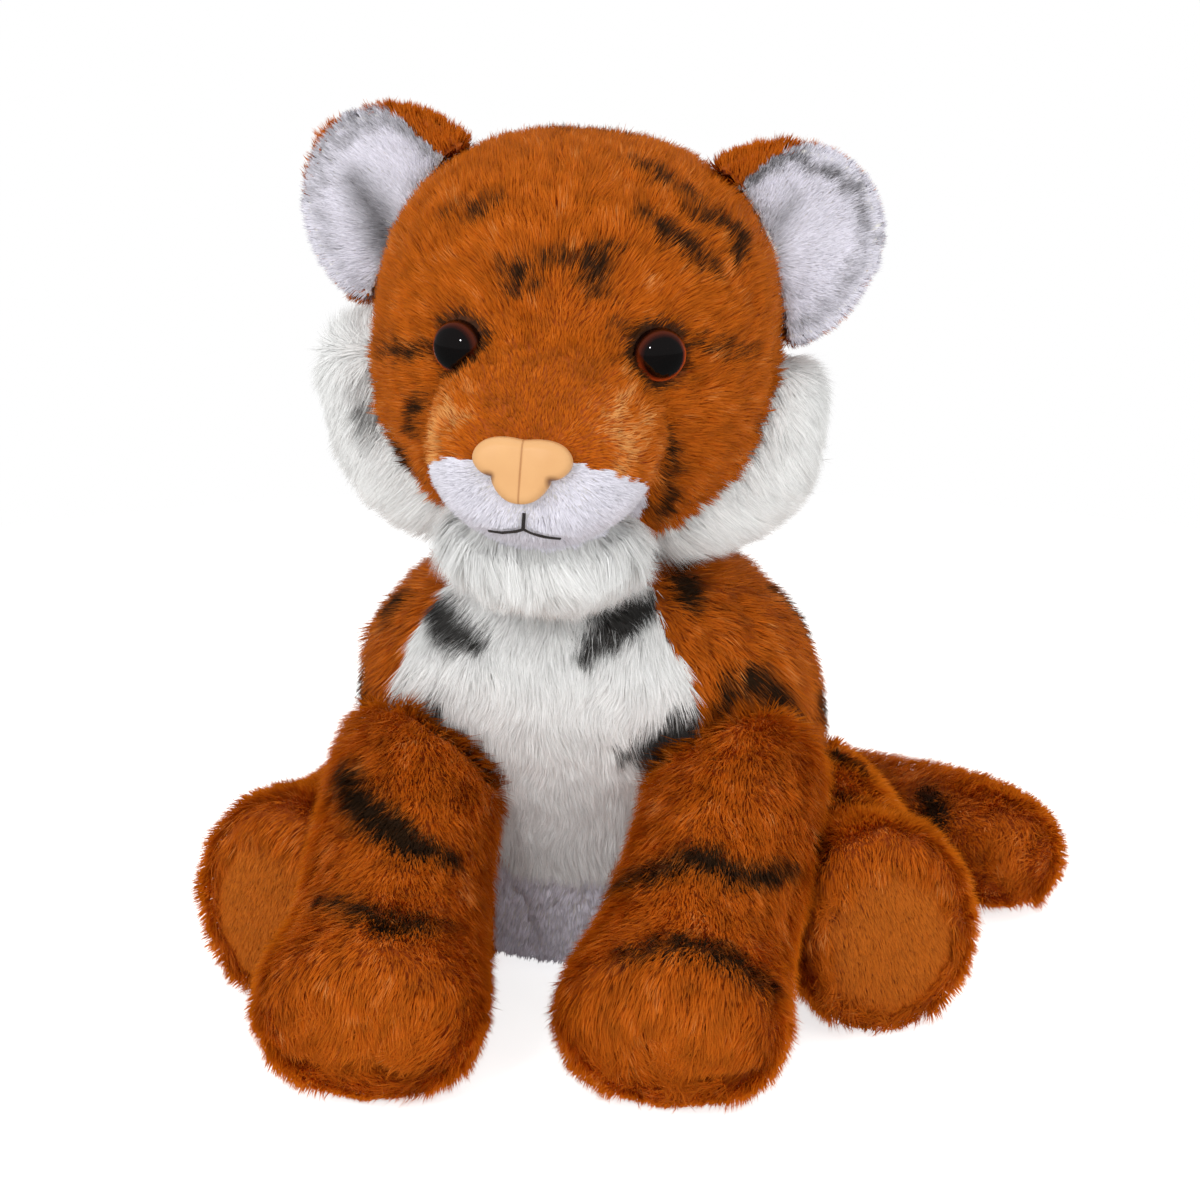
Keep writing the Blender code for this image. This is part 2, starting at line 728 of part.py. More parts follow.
def eye_matrix(sign):
    """The eye's frame: its origin is on the back of the rim and its Z axis looks out."""
    out = Matrix.Rotation(sign * EYE_SPLAY, 4, "Z") @ Matrix.Rotation(math.radians(90), 4, "X")
    place = Vector((sign * EYE_PLACE.x, EYE_PLACE.y, EYE_PLACE.z + sign * EYE_STEP))
    frame = HEAD_MATRIX @ Matrix.Translation(place) @ out
    surface = BVHTree.FromObject(HEAD_GROWN, bpy.context.evaluated_depsgraph_get())
    look = (frame.to_3x3() @ Vector((0, 0, 1))).normalized()
    start = frame.translation + look * HEAD_HALF_WIDTH
    hit = surface.ray_cast(start, -look)[0]
    return Matrix.Translation(hit - frame.translation - look * EYE_SINK) @ frame


def eye_profile():
    dome = []
    steps = 4
    for i in range(steps + 1):
        turn = math.radians(90) * i / steps
        dome.append((EYE_RADIUS * math.sin(turn), EYE_RIM + EYE_DOME * math.cos(turn)))
    return dome + [
        (EYE_RADIUS, 0),
        (EYE_SHANK_RADIUS, 0),
        (EYE_SHANK_RADIUS, -EYE_SHANK_LENGTH),
        (0, -EYE_SHANK_LENGTH),
    ]


def washer(name, matrix, shank_radius):
    """A disc with a hole for the shank, WASHER_DEPTH behind the moulding."""
    back = -WASHER_DEPTH - WASHER_THICKNESS
    disc = rod(name + "_disc", matrix, WASHER_RADIUS, back, -WASHER_DEPTH, 14)
    bore = rod(name + "_bore", matrix, shank_radius + CLEARANCE, back - OVERRUN, OVERRUN, 12)
    return minus(name, disc, bore)


def fixing_room(name, matrix, shank_radius, shank_length):
    """The room that a shank and its washer take from cloth and filling."""
    end = -shank_length - CLEARANCE
    shank = rod(name + "_shank", matrix, shank_radius + CLEARANCE, end, SKIN, 12)
    back = -WASHER_DEPTH - WASHER_THICKNESS - CLEARANCE
    front = -WASHER_DEPTH + CLEARANCE
    disc = rod(name + "_disc", matrix, WASHER_RADIUS + CLEARANCE, back, front, 16)
    return carve(name, shank, ("UNION", disc))


def nose_frame():
    """The nose's frame: its origin is in its back face, on the front of the muzzle."""
    surface = BVHTree.FromObject(MUZZLE_GROWN, bpy.context.evaluated_depsgraph_get())
    look = HEAD_MATRIX.to_3x3() @ Vector((0, -1, 0))
    across = MUZZLE_SHIFT + NOSE_SHIFT
    start = HEAD_MATRIX @ Vector((across, -MUZZLE_FRONT - OVERRUN, -NOSE_DROP))
    hit = surface.ray_cast(start, -look)[0]
    facing = Matrix.Rotation(math.radians(90), 4, "X")
    return Matrix.Translation(hit) @ HEAD_ROTATION @ facing


def nose_loop():
    half = [(x * NOSE_WIDTH, z * NOSE_HEIGHT) for x, z in NOSE_OUTLINE_SHARES]
    return half + [(-x, z) for x, z in reversed(half[1:-1])]


def nose_shape(frame):
    """The moulded nose: an outline swelling forward, with sides that draw in at the back."""
    bm = bmesh.new()
    loops = []
    for size_share, thickness_share, bulge_share in NOSE_LAYER_SHARES:
        z = NOSE_THICKNESS * thickness_share + NOSE_BULGE * bulge_share
        loop = [(x * size_share, y * size_share, z) for x, y in nose_loop()]
        loops.append([bm.verts.new(point) for point in loop])
    for lower, upper in zip(loops, loops[1:]):
        for i in range(len(lower)):
            j = (i + 1) % len(lower)
            bm.faces.new((lower[i], lower[j], upper[j], upper[i]))
    bm.faces.new(loops[0])
    bm.faces.new(loops[-1])
    bm.transform(frame)
    return form("nose_body", from_bmesh("nose_cage", bm))


def make_nose(frame, cloth):
    """The nose with its groove, nostrils and shank. cloth is what it sits on."""
    body = nose_shape(frame)
    surface = BVHTree.FromObject(body, bpy.context.evaluated_depsgraph_get())
    inward = frame.to_3x3() @ Vector((0, 0, -1))
    top, bottom = NOSE_GROOVE_SHARES
    steps = 8
    path = []
    for i in range(steps + 1):
        y = NOSE_HEIGHT * (top + (bottom - top) * i / steps)
        hit = surface.ray_cast(frame @ Vector((0, y, NOSE_THICKNESS + OVERRUN)), inward)[0]
        if hit is not None:
            path.append(hit)
    path.append(path[-1] + inward * NOSE_THICKNESS)
    cuts = [tube("groove", path, NOSE_GROOVE_RADIUS, 6)]
    floor = NOSE_THICKNESS * NOSE_LAYER_SHARES[2][1]
    across, up = NOSTRIL_PLACE_SHARES
    for sign in (-1, 1):
        place = Matrix.Translation((sign * NOSE_WIDTH * across, NOSE_HEIGHT * up, 0))
        cuts.append(rod("nostril", frame @ place, NOSTRIL_RADIUS, floor, floor + OVERRUN, 10))
    shaped = minus("nose_shaped", body, cloth, *cuts)
    shank = rod("nose_shank", frame, NOSE_SHANK_RADIUS, -NOSE_SHANK_LENGTH, floor, 12)
    return carve("nose_whole", shaped, ("UNION", shank))


def make_mouth(surface_object):
    """Thread that lies on the muzzle, forked below the nose."""
    surface = BVHTree.FromObject(surface_object, bpy.context.evaluated_depsgraph_get())
    look = HEAD_MATRIX.to_3x3() @ Vector((0, -1, 0))
    lift = THREAD_RADIUS + 2 * CLEARANCE

    def lay(x, drop):
        start = HEAD_MATRIX @ Vector((MUZZLE_SHIFT + x, -MUZZLE_FRONT - OVERRUN, -drop))
        hit, normal = surface.ray_cast(start, -look)[:2]
        return hit + normal * lift

    steps = 3
    fall = MOUTH_FORK_DROP - MOUTH_TOP_DROP
    stem = [lay(0, MOUTH_TOP_DROP + fall * i / steps) for i in range(steps + 1)]
    arc = []
    sweep = 10
    for i in range(sweep + 1):
        across = 2 * i / sweep - 1
        bend = math.sin(math.pi / 2 * abs(across))
        drop = MOUTH_FORK_DROP + (MOUTH_CORNER_DROP - MOUTH_FORK_DROP) * bend
        arc.append(lay(MOUTH_HALF_WIDTH * across, drop))
    arc_thread = tube("arc", arc, THREAD_RADIUS, 6)
    return carve("mouth", arc_thread, ("UNION", tube("stem", stem, THREAD_RADIUS, 6)))


def chin_ball(name, gap):
    radii = Vector((CHIN_HALF_WIDTH + gap, CHIN_HALF_DEPTH + gap, CHIN_HALF_HEIGHT + gap))
    return on_head(ball(name, CHIN_PLACE, radii))


def muzzle_outline(gap):
    """The white of the muzzle seen from the front, from the seam at the nose, widened by gap."""
    reach = MUZZLE_HALF_WIDTH + gap
    depth = MUZZLE_HALF_HEIGHT + MUZZLE_HALF_HEIGHT
    half = [(reach, gap - reach * math.tan(MUZZLE_SEAM_SLOPE))]
    for width, height in MUZZLE_SEAM_SHARES:
        half.append((MUZZLE_HALF_WIDTH * width + gap, -depth * height - gap))
    return [(0, gap)] + half + [(-x, z) for x, z in reversed(half)]


def make_head():
    head_hollow = form("head_hollow", HEAD_INSIDE, -SKIN)
    muzzle_hollow = form("muzzle_hollow", MUZZLE_INSIDE, -SKIN)
    inside = carve("inside", head_hollow, ("UNION", muzzle_hollow))
    outer = carve("head_outer", form("head_ball", HEAD), ("UNION", form("muzzle_ball", MUZZLE)))
    nose_at = nose_frame()
    fixings = [fixing_room("nose_fixing", nose_at, NOSE_SHANK_RADIUS, NOSE_SHANK_LENGTH)]
    eyes = {}
    for side, sign in (("l", 1), ("r", -1)):
        frame = eye_matrix(sign)
        eyes[side] = frame
        fixing = fixing_room("eye_fixing", frame, EYE_SHANK_RADIUS, EYE_SHANK_LENGTH)
        seat = rod("eye_seat", frame, EYE_RADIUS + CLEARANCE, -CLEARANCE, EYE_DOME + OVERRUN, 20)
        fixings.append(carve("eye_room", fixing, ("UNION", seat)))
    shell = minus("head_shell", outer, inside, NECK_IN_HEAD, *fixings)

    # The white muzzle is the lower front of the shell, below a seam that falls away to both sides
    seam_place = Matrix.Translation((MUZZLE_SHIFT, -MUZZLE_ROOT, -MUZZLE_SEAM_DROP))
    seam = HEAD_MATRIX @ seam_place
    front = -(MUZZLE_FRONT - MUZZLE_ROOT) - OVERRUN
    tool = prism("muzzle_tool", muzzle_outline(0.0), front, 0, seam)
    room = prism("muzzle_room", muzzle_outline(CLEARANCE), front, CLEARANCE, seam)
    muzzle = both("muzzle", shell, tool, solver="MANIFOLD")
    face = minus("face", shell, room, solver="MANIFOLD")
    finish("muzzle_skin", muzzle, "pale_short_plush", HEAD_PIVOT)
    finish("face_skin", face, "orange_plush", HEAD_PIVOT)

    # Chin and ruffs are padded panels of their own on the head's cover, and the ruffs
    # are hollowed for the neck
    chin = minus("chin", chin_ball("chin_pad", 0.0), HEAD_GROWN, MUZZLE_GROWN)
    finish("chin_skin", chin, "white_plush", HEAD_PIVOT)
    chin_grown = chin_ball("chin_grown", CLEARANCE)
    for side, sign in (("l", 1), ("r", -1)):
        ruff = form("ruff_pad", ruff_cage(sign))
        shaped = minus("ruff", ruff, HEAD_GROWN, MUZZLE_GROWN, chin_grown, NECK_ROOM)
        finish("cheek_ruff_" + side, shaped, "white_plush", HEAD_PIVOT)

    head_fill = pushed("head_fill", head_hollow, -CLEARANCE)
    muzzle_fill = pushed("muzzle_fill", muzzle_hollow, -CLEARANCE)
    filling = carve("head_filling", head_fill, ("UNION", muzzle_fill))
    stuffing = minus("stuffing", filling, NECK_IN_HEAD, *fixings)
    finish("head_stuffing", stuffing, "fibre_filling", HEAD_PIVOT)

    for side in ("l", "r"):
        frame = eyes[side]
        finish("eye_" + side, lathe("eye", eye_profile(), frame), "eye_plastic", HEAD_PIVOT)
        ring = washer("eye_washer", frame, EYE_SHANK_RADIUS)
        finish("eye_washer_" + side, ring, "washer_plastic", HEAD_PIVOT)
    finish("nose", make_nose(nose_at, MUZZLE_GROWN), "nose_plastic", HEAD_PIVOT)
    ring = washer("nose_washer_ring", nose_at, NOSE_SHANK_RADIUS)
    finish("nose_washer", ring, "washer_plastic", HEAD_PIVOT)
    finish("mouth_stitching", make_mouth(MUZZLE_GROWN), "black_thread", HEAD_PIVOT)


make_head()


# Ears

def ear_frame(sign):
    """Base line along X, outward along Y and forward along Z, in the head's frame."""
    slant = EAR_BASE_SLANT
    along = Vector((-sign * math.sin(slant), 0, math.cos(slant)))
    out_flat = Vector((sign * math.cos(slant), 0, math.sin(slant)))
    outward = out_flat * math.cos(EAR_SWEEP) + Vector((0, 1, 0)) * math.sin(EAR_SWEEP)
    forward = along.cross(outward) if sign > 0 else outward.cross(along)
    if forward.y > 0:
        forward = -forward
    frame = Matrix((along, outward, forward)).transposed().to_4x4()
    frame.translation = Vector((sign * EAR_BASE_PLACE.x, EAR_BASE_PLACE.y, EAR_BASE_PLACE.z))
    return HEAD_MATRIX @ frame


def ear_sheet(name, frame, back, thickness):
    """A cupped half oval, back behind the ear's middle sheet and thickness deep."""
    bm = bmesh.new()
    root = bm.verts.new((0, 0, 0))
    rings = []
    for share in EAR_RING_SHARES:
        ring = []
        for i in range(EAR_SPOKES + 1):
            turn = EAR_SPREAD * (2 * i / EAR_SPOKES - 1)
            x = EAR_HALF_LENGTH * math.sin(turn) * share
            y = EAR_REACH * math.cos(turn) * share
            ring.append(bm.verts.new((x, y, EAR_CUP * share * share)))
        rings.append(ring)
    for i in range(EAR_SPOKES):
        bm.faces.new((root, rings[0][i], rings[0][i + 1]))
        for inner, outer in zip(rings, rings[1:]):
            bm.faces.new((inner[i], outer[i], outer[i + 1], inner[i + 1]))
    bmesh.ops.translate(bm, vec=(0, 0, -back), verts=bm.verts[:])
    bm.transform(frame)
    mesh = bpy.data.meshes.new(name)
    bmesh.ops.recalc_face_normals(bm, faces=bm.faces[:])
    forward = frame.to_3x3() @ Vector((0, 0, 1))
    if sum((f.normal.dot(forward) for f in bm.faces)) < 0:
        bmesh.ops.reverse_faces(bm, faces=bm.faces[:])
    bm.to_mesh(mesh)
    bm.free()
    sheet = new_object(name, mesh)
    thick = sheet.modifiers.new("thick", "SOLIDIFY")
    thick.thickness = thickness
    thick.offset = -1
    smooth = sheet.modifiers.new("smooth", "SUBSURF")
    smooth.levels = 1
    smooth.render_levels = 1
    return evaluated(name, sheet)


def make_ear(side, sign):
    frame = ear_frame(sign)
    along = (frame.to_3x3() @ Vector((1, 0, 0))).normalized()
    axis = along * sign
    place = frame.translation
    low, high = EAR_FOLD
    free = [HEAD_GROWN] + swept_past(HEAD_PASSED, place, axis, low, high)
    hinge = pivot("ear_fold_axis_" + side, place, HEAD_PIVOT)
    front = ear_sheet("ear_front", frame, 0.0, EAR_FRONT_THICKNESS)
    back = ear_sheet("ear_back", frame, EAR_FRONT_THICKNESS + 2 * CLEARANCE, EAR_BACK_THICKNESS)
    shaped = minus("front", front, *free, solver="MANIFOLD")
    finish("ear_front_" + side, shaped, "pale_short_plush", hinge)
    shaped = minus("back", back, *free, solver="MANIFOLD")
    finish("ear_back_" + side, shaped, "orange_plush", hinge)


for side, sign in (("l", 1), ("r", -1)):
    make_ear(side, sign)


# Limbs

def limb(name, cages, neighbours):
    """A cover, open at its root, and its filling, both trimmed by what they meet and pass."""
    base, inside = cages
    outer = form(name + "_outer", base)
    hollow = form(name + "_hollow", inside, -SKIN)
    core = pushed(name + "_core", hollow, -FILLING_GAP)
    cover = minus(name + "_cover", outer, FLOOR, hollow, *neighbours, solver="MANIFOLD")
    return cover, minus(name + "_filling", core, *neighbours, solver="MANIFOLD")


def front_leg_cages(sign, shoulder):
    points = []
    sizes = []
    for forward, down, out, width, depth in FRONT_LEG_SPINE_SHARES:
        reach = (FRONT_LEG_REACH - sign * FRONT_LEG_STEP) * forward
        aside = sign * FRONT_LEG_SPLAY * out
        points.append(shoulder + Vector((aside, -reach, -FRONT_LEG_DROP * down)))
        sizes.append((FRONT_LEG_HALF_WIDTH * width, FRONT_LEG_HALF_DEPTH * depth))
    rings = spine_rings(points, sizes, Vector((1, 0, 0)))
    return soft_cages("front_leg_cage", rings, LIMB_POINTS, INNER_POINTS, rests=True)


def make_front_leg(side, sign):
    """Makes a front leg and returns the copies of it that the hind leg has to pass."""
    place = Vector((sign * FRONT_LEG_X + FRONT_LEG_SHIFT, SHOULDER_Y, SHOULDER_Z))
    axis = Vector((-1, 0, 0))
    free = [BODY_GROWN] + swept_past(BODY_PASSED, place, axis, 0.0, FRONT_LEG_SWING)
    hinge = pivot("front_leg_axis_" + side, place)
    cages = front_leg_cages(sign, place)
    cover, filling = limb("front_leg", cages, free)
    finish("front_leg_skin_" + side, cover, "orange_plush", hinge)
    finish("front_leg_stuffing_" + side, filling, "fibre_filling", hinge)
    passed = form("front_leg_passed", cages[0], SWING_CLEARANCE)
    return swept(passed, place, axis, 0.0, FRONT_LEG_SWING)


def hind_leg_cages(hip, reach, sideways):
    points = []
    sizes = []
    ground = Vector((hip.x, hip.y, 0))
    for share, bulge, height, width in HIND_LEG_SPINE_SHARES:
        points.append(ground + reach * share + sideways * (HIND_LEG_RADIUS * bulge))
        sizes.append((HIND_LEG_RADIUS * height, HIND_LEG_RADIUS * width))
    rings = []
    for centre, up, across in spine_rings(points, sizes, Vector((0, 0, 1))):
        rings.append((centre + up, up, across))
    return soft_cages("hind_leg_cage", rings, LIMB_POINTS, INNER_POINTS, rests=True)


def make_hind_leg(side, sign, front_leg):
    """Makes a hind leg that keeps clear of the copies in front_leg, the first one at rest."""
    place = Vector((sign * HIP_PLACE.x + HIND_LEG_SHIFT, HIP_PLACE.y, HIP_PLACE.z))
    reach_x = sign * HIND_LEG_REACH_X + HIND_FOOT_SHIFT
    reach = Vector((reach_x, sign * HIND_FOOT_STEP - HIND_LEG_REACH_Y, 0))
    level = reach.normalized()
    sideways = Vector((0, 0, 1)).cross(level) * sign
    tilt = HIND_LEG_AXIS_TILT
    axis = Vector((-math.cos(tilt), 0, sign * math.sin(tilt)))
    free = [BODY_GROWN] + front_leg
    for neighbour in (BODY_PASSED, front_leg[0]):
        free += swept_past(neighbour, place, axis, 0.0, HIND_LEG_SWING)
    hinge = pivot("hind_leg_axis_" + side, place)
    shell, filling = limb("hind_leg", hind_leg_cages(place, reach, sideways), free)
    finish("hind_leg_stuffing_" + side, filling, "fibre_filling", hinge)

    # The sole pad is an oval let into the end of the cover, square to the leg
    upright = Vector((0, 0, 1))
    square = Matrix((level.cross(upright), upright, -level)).transposed().to_4x4()
    foot = Vector((place.x, place.y, HIND_LEG_RADIUS)) + reach * SOLE_SHARE
    seam = Matrix.Translation(foot) @ square
    far = reach.length
    oval = Matrix.Diagonal((SOLE_HALF_WIDTH, SOLE_HALF_HEIGHT, 1, 1))
    grown = Matrix.Diagonal((SOLE_HALF_WIDTH + CLEARANCE, SOLE_HALF_HEIGHT + CLEARANCE, 1, 1))
    tool = rod("sole_tool", seam @ oval, 1, -far, 0, SOLE_POINTS)
    room = rod("sole_room", seam @ grown, 1, -far, CLEARANCE, SOLE_POINTS)
    pad = both("sole", shell, tool, solver="MANIFOLD")
    finish("sole_pad_" + side, pad, "sole_plush", hinge)
    cover = minus("hind_leg", shell, room, solver="MANIFOLD")
    finish("hind_leg_skin_" + side, cover, "orange_plush", hinge)


def tail_cages():
    points = []
    sizes = []
    for along, back, thick in TAIL_SPINE_SHARES:
        points.append(TAIL_ROOT + Vector((TAIL_REACH_X * along, TAIL_REACH_Y * back, 0)))
        sizes.append((TAIL_RADIUS * thick, TAIL_RADIUS * thick))
    rings = spine_rings(points, sizes, Vector((0, 0, 1)))
    return soft_cages("tail_cage", rings, LIMB_POINTS, INNER_POINTS, rests=True)


def make_tail():
    axis = Vector((0, 0, 1))
    low, high = TAIL_WAG
    free = [BODY_GROWN] + swept_past(BODY_PASSED, TAIL_ROOT, axis, low, high)
    hinge = pivot("tail_wag_axis", TAIL_ROOT)
    cover, filling = limb("tail", tail_cages(), free)
    finish("tail_skin", cover, "orange_plush", hinge)
    finish("tail_stuffing", filling, "fibre_filling", hinge)


for side, sign in (("l", 1), ("r", -1)):
    make_hind_leg(side, sign, make_front_leg(side, sign))
make_tail()

for spare in list(CUTTERS.objects):
    bpy.data.objects.remove(spare, do_unlink=True)
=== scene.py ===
import bpy
import numpy as np
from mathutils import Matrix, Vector, noise
from mathutils.bvhtree import BVHTree
from mathutils.kdtree import KDTree


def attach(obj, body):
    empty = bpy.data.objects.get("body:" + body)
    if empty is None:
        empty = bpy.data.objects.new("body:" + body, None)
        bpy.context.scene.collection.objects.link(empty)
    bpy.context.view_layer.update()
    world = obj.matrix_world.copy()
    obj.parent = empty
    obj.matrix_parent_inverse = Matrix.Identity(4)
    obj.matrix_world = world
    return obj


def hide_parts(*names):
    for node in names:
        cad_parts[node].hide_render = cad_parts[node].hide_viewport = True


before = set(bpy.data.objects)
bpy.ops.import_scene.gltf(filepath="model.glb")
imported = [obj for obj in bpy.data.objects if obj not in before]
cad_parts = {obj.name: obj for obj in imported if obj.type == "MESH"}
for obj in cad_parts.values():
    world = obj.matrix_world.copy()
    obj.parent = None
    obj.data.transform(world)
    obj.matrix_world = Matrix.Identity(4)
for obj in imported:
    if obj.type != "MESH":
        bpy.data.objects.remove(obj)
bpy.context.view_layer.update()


# Fillings: loose carded polyester fibre inside the body, head, legs and tail, and a cloth bag of pellets
# in the seat. They stay as the frame has them. Closed up, none of them shows.

def linear(colour):
    """An sRGB hex colour as the linear numbers that a socket takes."""
    parts = [int(colour[i:i + 2], 16) / 255 for i in (1, 3, 5)]
    return [x / 12.92 if x <= 0.04045 else ((x + 0.055) / 1.055) ** 2.4 for x in parts] + [1.0]


def node(material, kind, sockets={}, **settings):
    """Adds a node with its settings. A socket's value is a number, a colour, or what feeds it: an output,
    or a node for its first output."""
    made = material.node_tree.nodes.new("ShaderNode" + kind)
    for name, value in settings.items():
        setattr(made, name, value)
    for name, value in sockets.items():
        if isinstance(value, bpy.types.Node):
            value = value.outputs[0]
        if isinstance(value, bpy.types.NodeSocket):
            material.node_tree.links.new(value, made.inputs[name])
        else:
            made.inputs[name].default_value = value
    return made


def empty_material(name):
    """A material with no nodes, ready for its own."""
    material = bpy.data.materials.new(name)
    material.use_nodes = True
    material.node_tree.nodes.clear()
    return material


# Carded polyester fibre: matt, off-white, with fine crossing fibres drawn 1.2 mm apart.
fibre = empty_material("carded_polyester_fibre")
place = node(fibre, "TexCoord").outputs["Object"]
strands = node(fibre, "TexNoise", {"Vector": place, "Scale": 420.0, "Detail": 6.0, "Distortion": 1.6})
tufts = node(fibre, "TexNoise", {"Vector": place, "Scale": 90.0, "Detail": 3.0})
mixed = node(fibre, "Mix", {0: strands, 6: linear("#D9D5CC"), 7: linear("#F7F5EF")}, data_type="RGBA")
bump = node(fibre, "Bump", {"Height": tufts, "Strength": 0.6, "Distance": 0.001})
shader = node(fibre, "BsdfPrincipled", {"Base Color": mixed.outputs[2], "Roughness": 0.95,
                                        "Sheen Weight": 0.3, "Normal": bump})
node(fibre, "OutputMaterial", {"Surface": shader})

# Non-woven polypropylene bag: thin pressed fibres, with the 3 mm pellets pushing through it as bumps.
pellets = empty_material("nonwoven_pellet_bag")
place = node(pellets, "TexCoord").outputs["Object"]
grains = node(pellets, "TexVoronoi", {"Vector": place, "Scale": 330.0})
bump = node(pellets, "Bump", {"Height": grains.outputs["Distance"], "Strength": 0.7, "Distance": 0.001},
            invert=True)
mixed = node(pellets, "Mix", {0: grains.outputs["Distance"], 6: linear("#ECEAE4"), 7: linear("#CFCCC4")},
             data_type="RGBA")
shader = node(pellets, "BsdfPrincipled", {"Base Color": mixed.outputs[2], "Roughness": 0.8,
                                          "Normal": bump})
node(pellets, "OutputMaterial", {"Surface": shader})


def finish_node(name, material):
    """A CAD node keeps its shape and gets its material."""
    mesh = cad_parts[name].data
    mesh.materials.clear()
    mesh.materials.append(material)


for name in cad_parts:
    if "stuffing" in name:
        finish_node(name, fibre)
finish_node("pellet_bag", pellets)


# Body cover: long orange acrylic plush for the back and flanks, a white long-pile bib and a white
# short-pile belly, sewn edge to edge, turned right side out and stuffed.

LONG_VOXEL = 0.0026  # of the remeshed surfaces under long pile
LONG_INSET, SHORT_INSET = 0.0021, 0.0012  # how deep the backing lies in the CAD cover
BACKING = 0.0008  # how thick the knitted backing is
FLOOR_GAP = 0.0001  # between the floor and what rests on it
SWIRL_SIZE, NAP_SIZE, EDGE_SIZE = 0.011, 0.0055, 0.004  # patches of one lie, one tint and one stripe's edge
EDGE_WANDER, EDGE_STRAY = 0.0024, 0.0011  # how far a stripe's edge goes with its patch, and strand by strand
TUFT_RADIUS = 0.0016
TRIM_REACH, TRIM_RAMP = 0.008, 0.005  # how far round an eye or a nose the pile is trimmed


def add_object(name, data):
    """A new object in the scene, which is the only one selected."""
    ob = bpy.data.objects.new(name, data)
    bpy.context.scene.collection.objects.link(ob)
    bpy.ops.object.select_all(action="DESELECT")
    ob.select_set(True)
    bpy.context.view_layer.objects.active = ob
    return ob


def cover_form(name, nodes, voxel=LONG_VOXEL):
    """One closed skin round the nodes: copies of them are joined, remeshed and smoothed, and the outermost
    shell is kept."""
    for ob in [add_object(name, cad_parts[n].data.copy()) for n in nodes]:
        ob.data.materials.clear()
        ob.select_set(True)
    bpy.ops.object.join()
    form = bpy.context.object
    form.data.remesh_voxel_size = voxel
    bpy.ops.object.voxel_remesh()
    bpy.ops.object.mode_set(mode="EDIT")
    bpy.ops.mesh.select_all(action="SELECT")
    bpy.ops.mesh.separate(type="LOOSE")
    bpy.ops.object.mode_set(mode="OBJECT")
    parts = sorted(bpy.context.selected_objects, key=lambda ob: len(ob.data.vertices))
    for ob in parts[:-1]:
        bpy.data.objects.remove(ob)
    form = parts[-1]
    form.name = name
    bpy.context.view_layer.objects.active = form
    relax = form.modifiers.new("relax", "SMOOTH")
    relax.factor, relax.iterations = 0.5, 4
    bpy.ops.object.modifier_apply(modifier="relax")
    return form


def surface_tree(name):
    """A CAD node's surface, ready to be asked for its nearest point."""
    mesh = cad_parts[name].data
    return BVHTree.FromPolygons([v.co for v in mesh.vertices], [p.vertices for p in mesh.polygons])


def point_tree(points):
    """The points, ready to be asked for the nearest of them."""
    tree = KDTree(len(points))
    for i, p in enumerate(points):
        tree.insert(p, i)
    tree.balance()
    return tree


def read(items, key, width=1, kind=float):
    """The same value of every item, as an array."""
    values = np.empty(len(items) * width, kind)
    items.foreach_get(key, values)
    return values.reshape(-1, width) if width > 1 else values


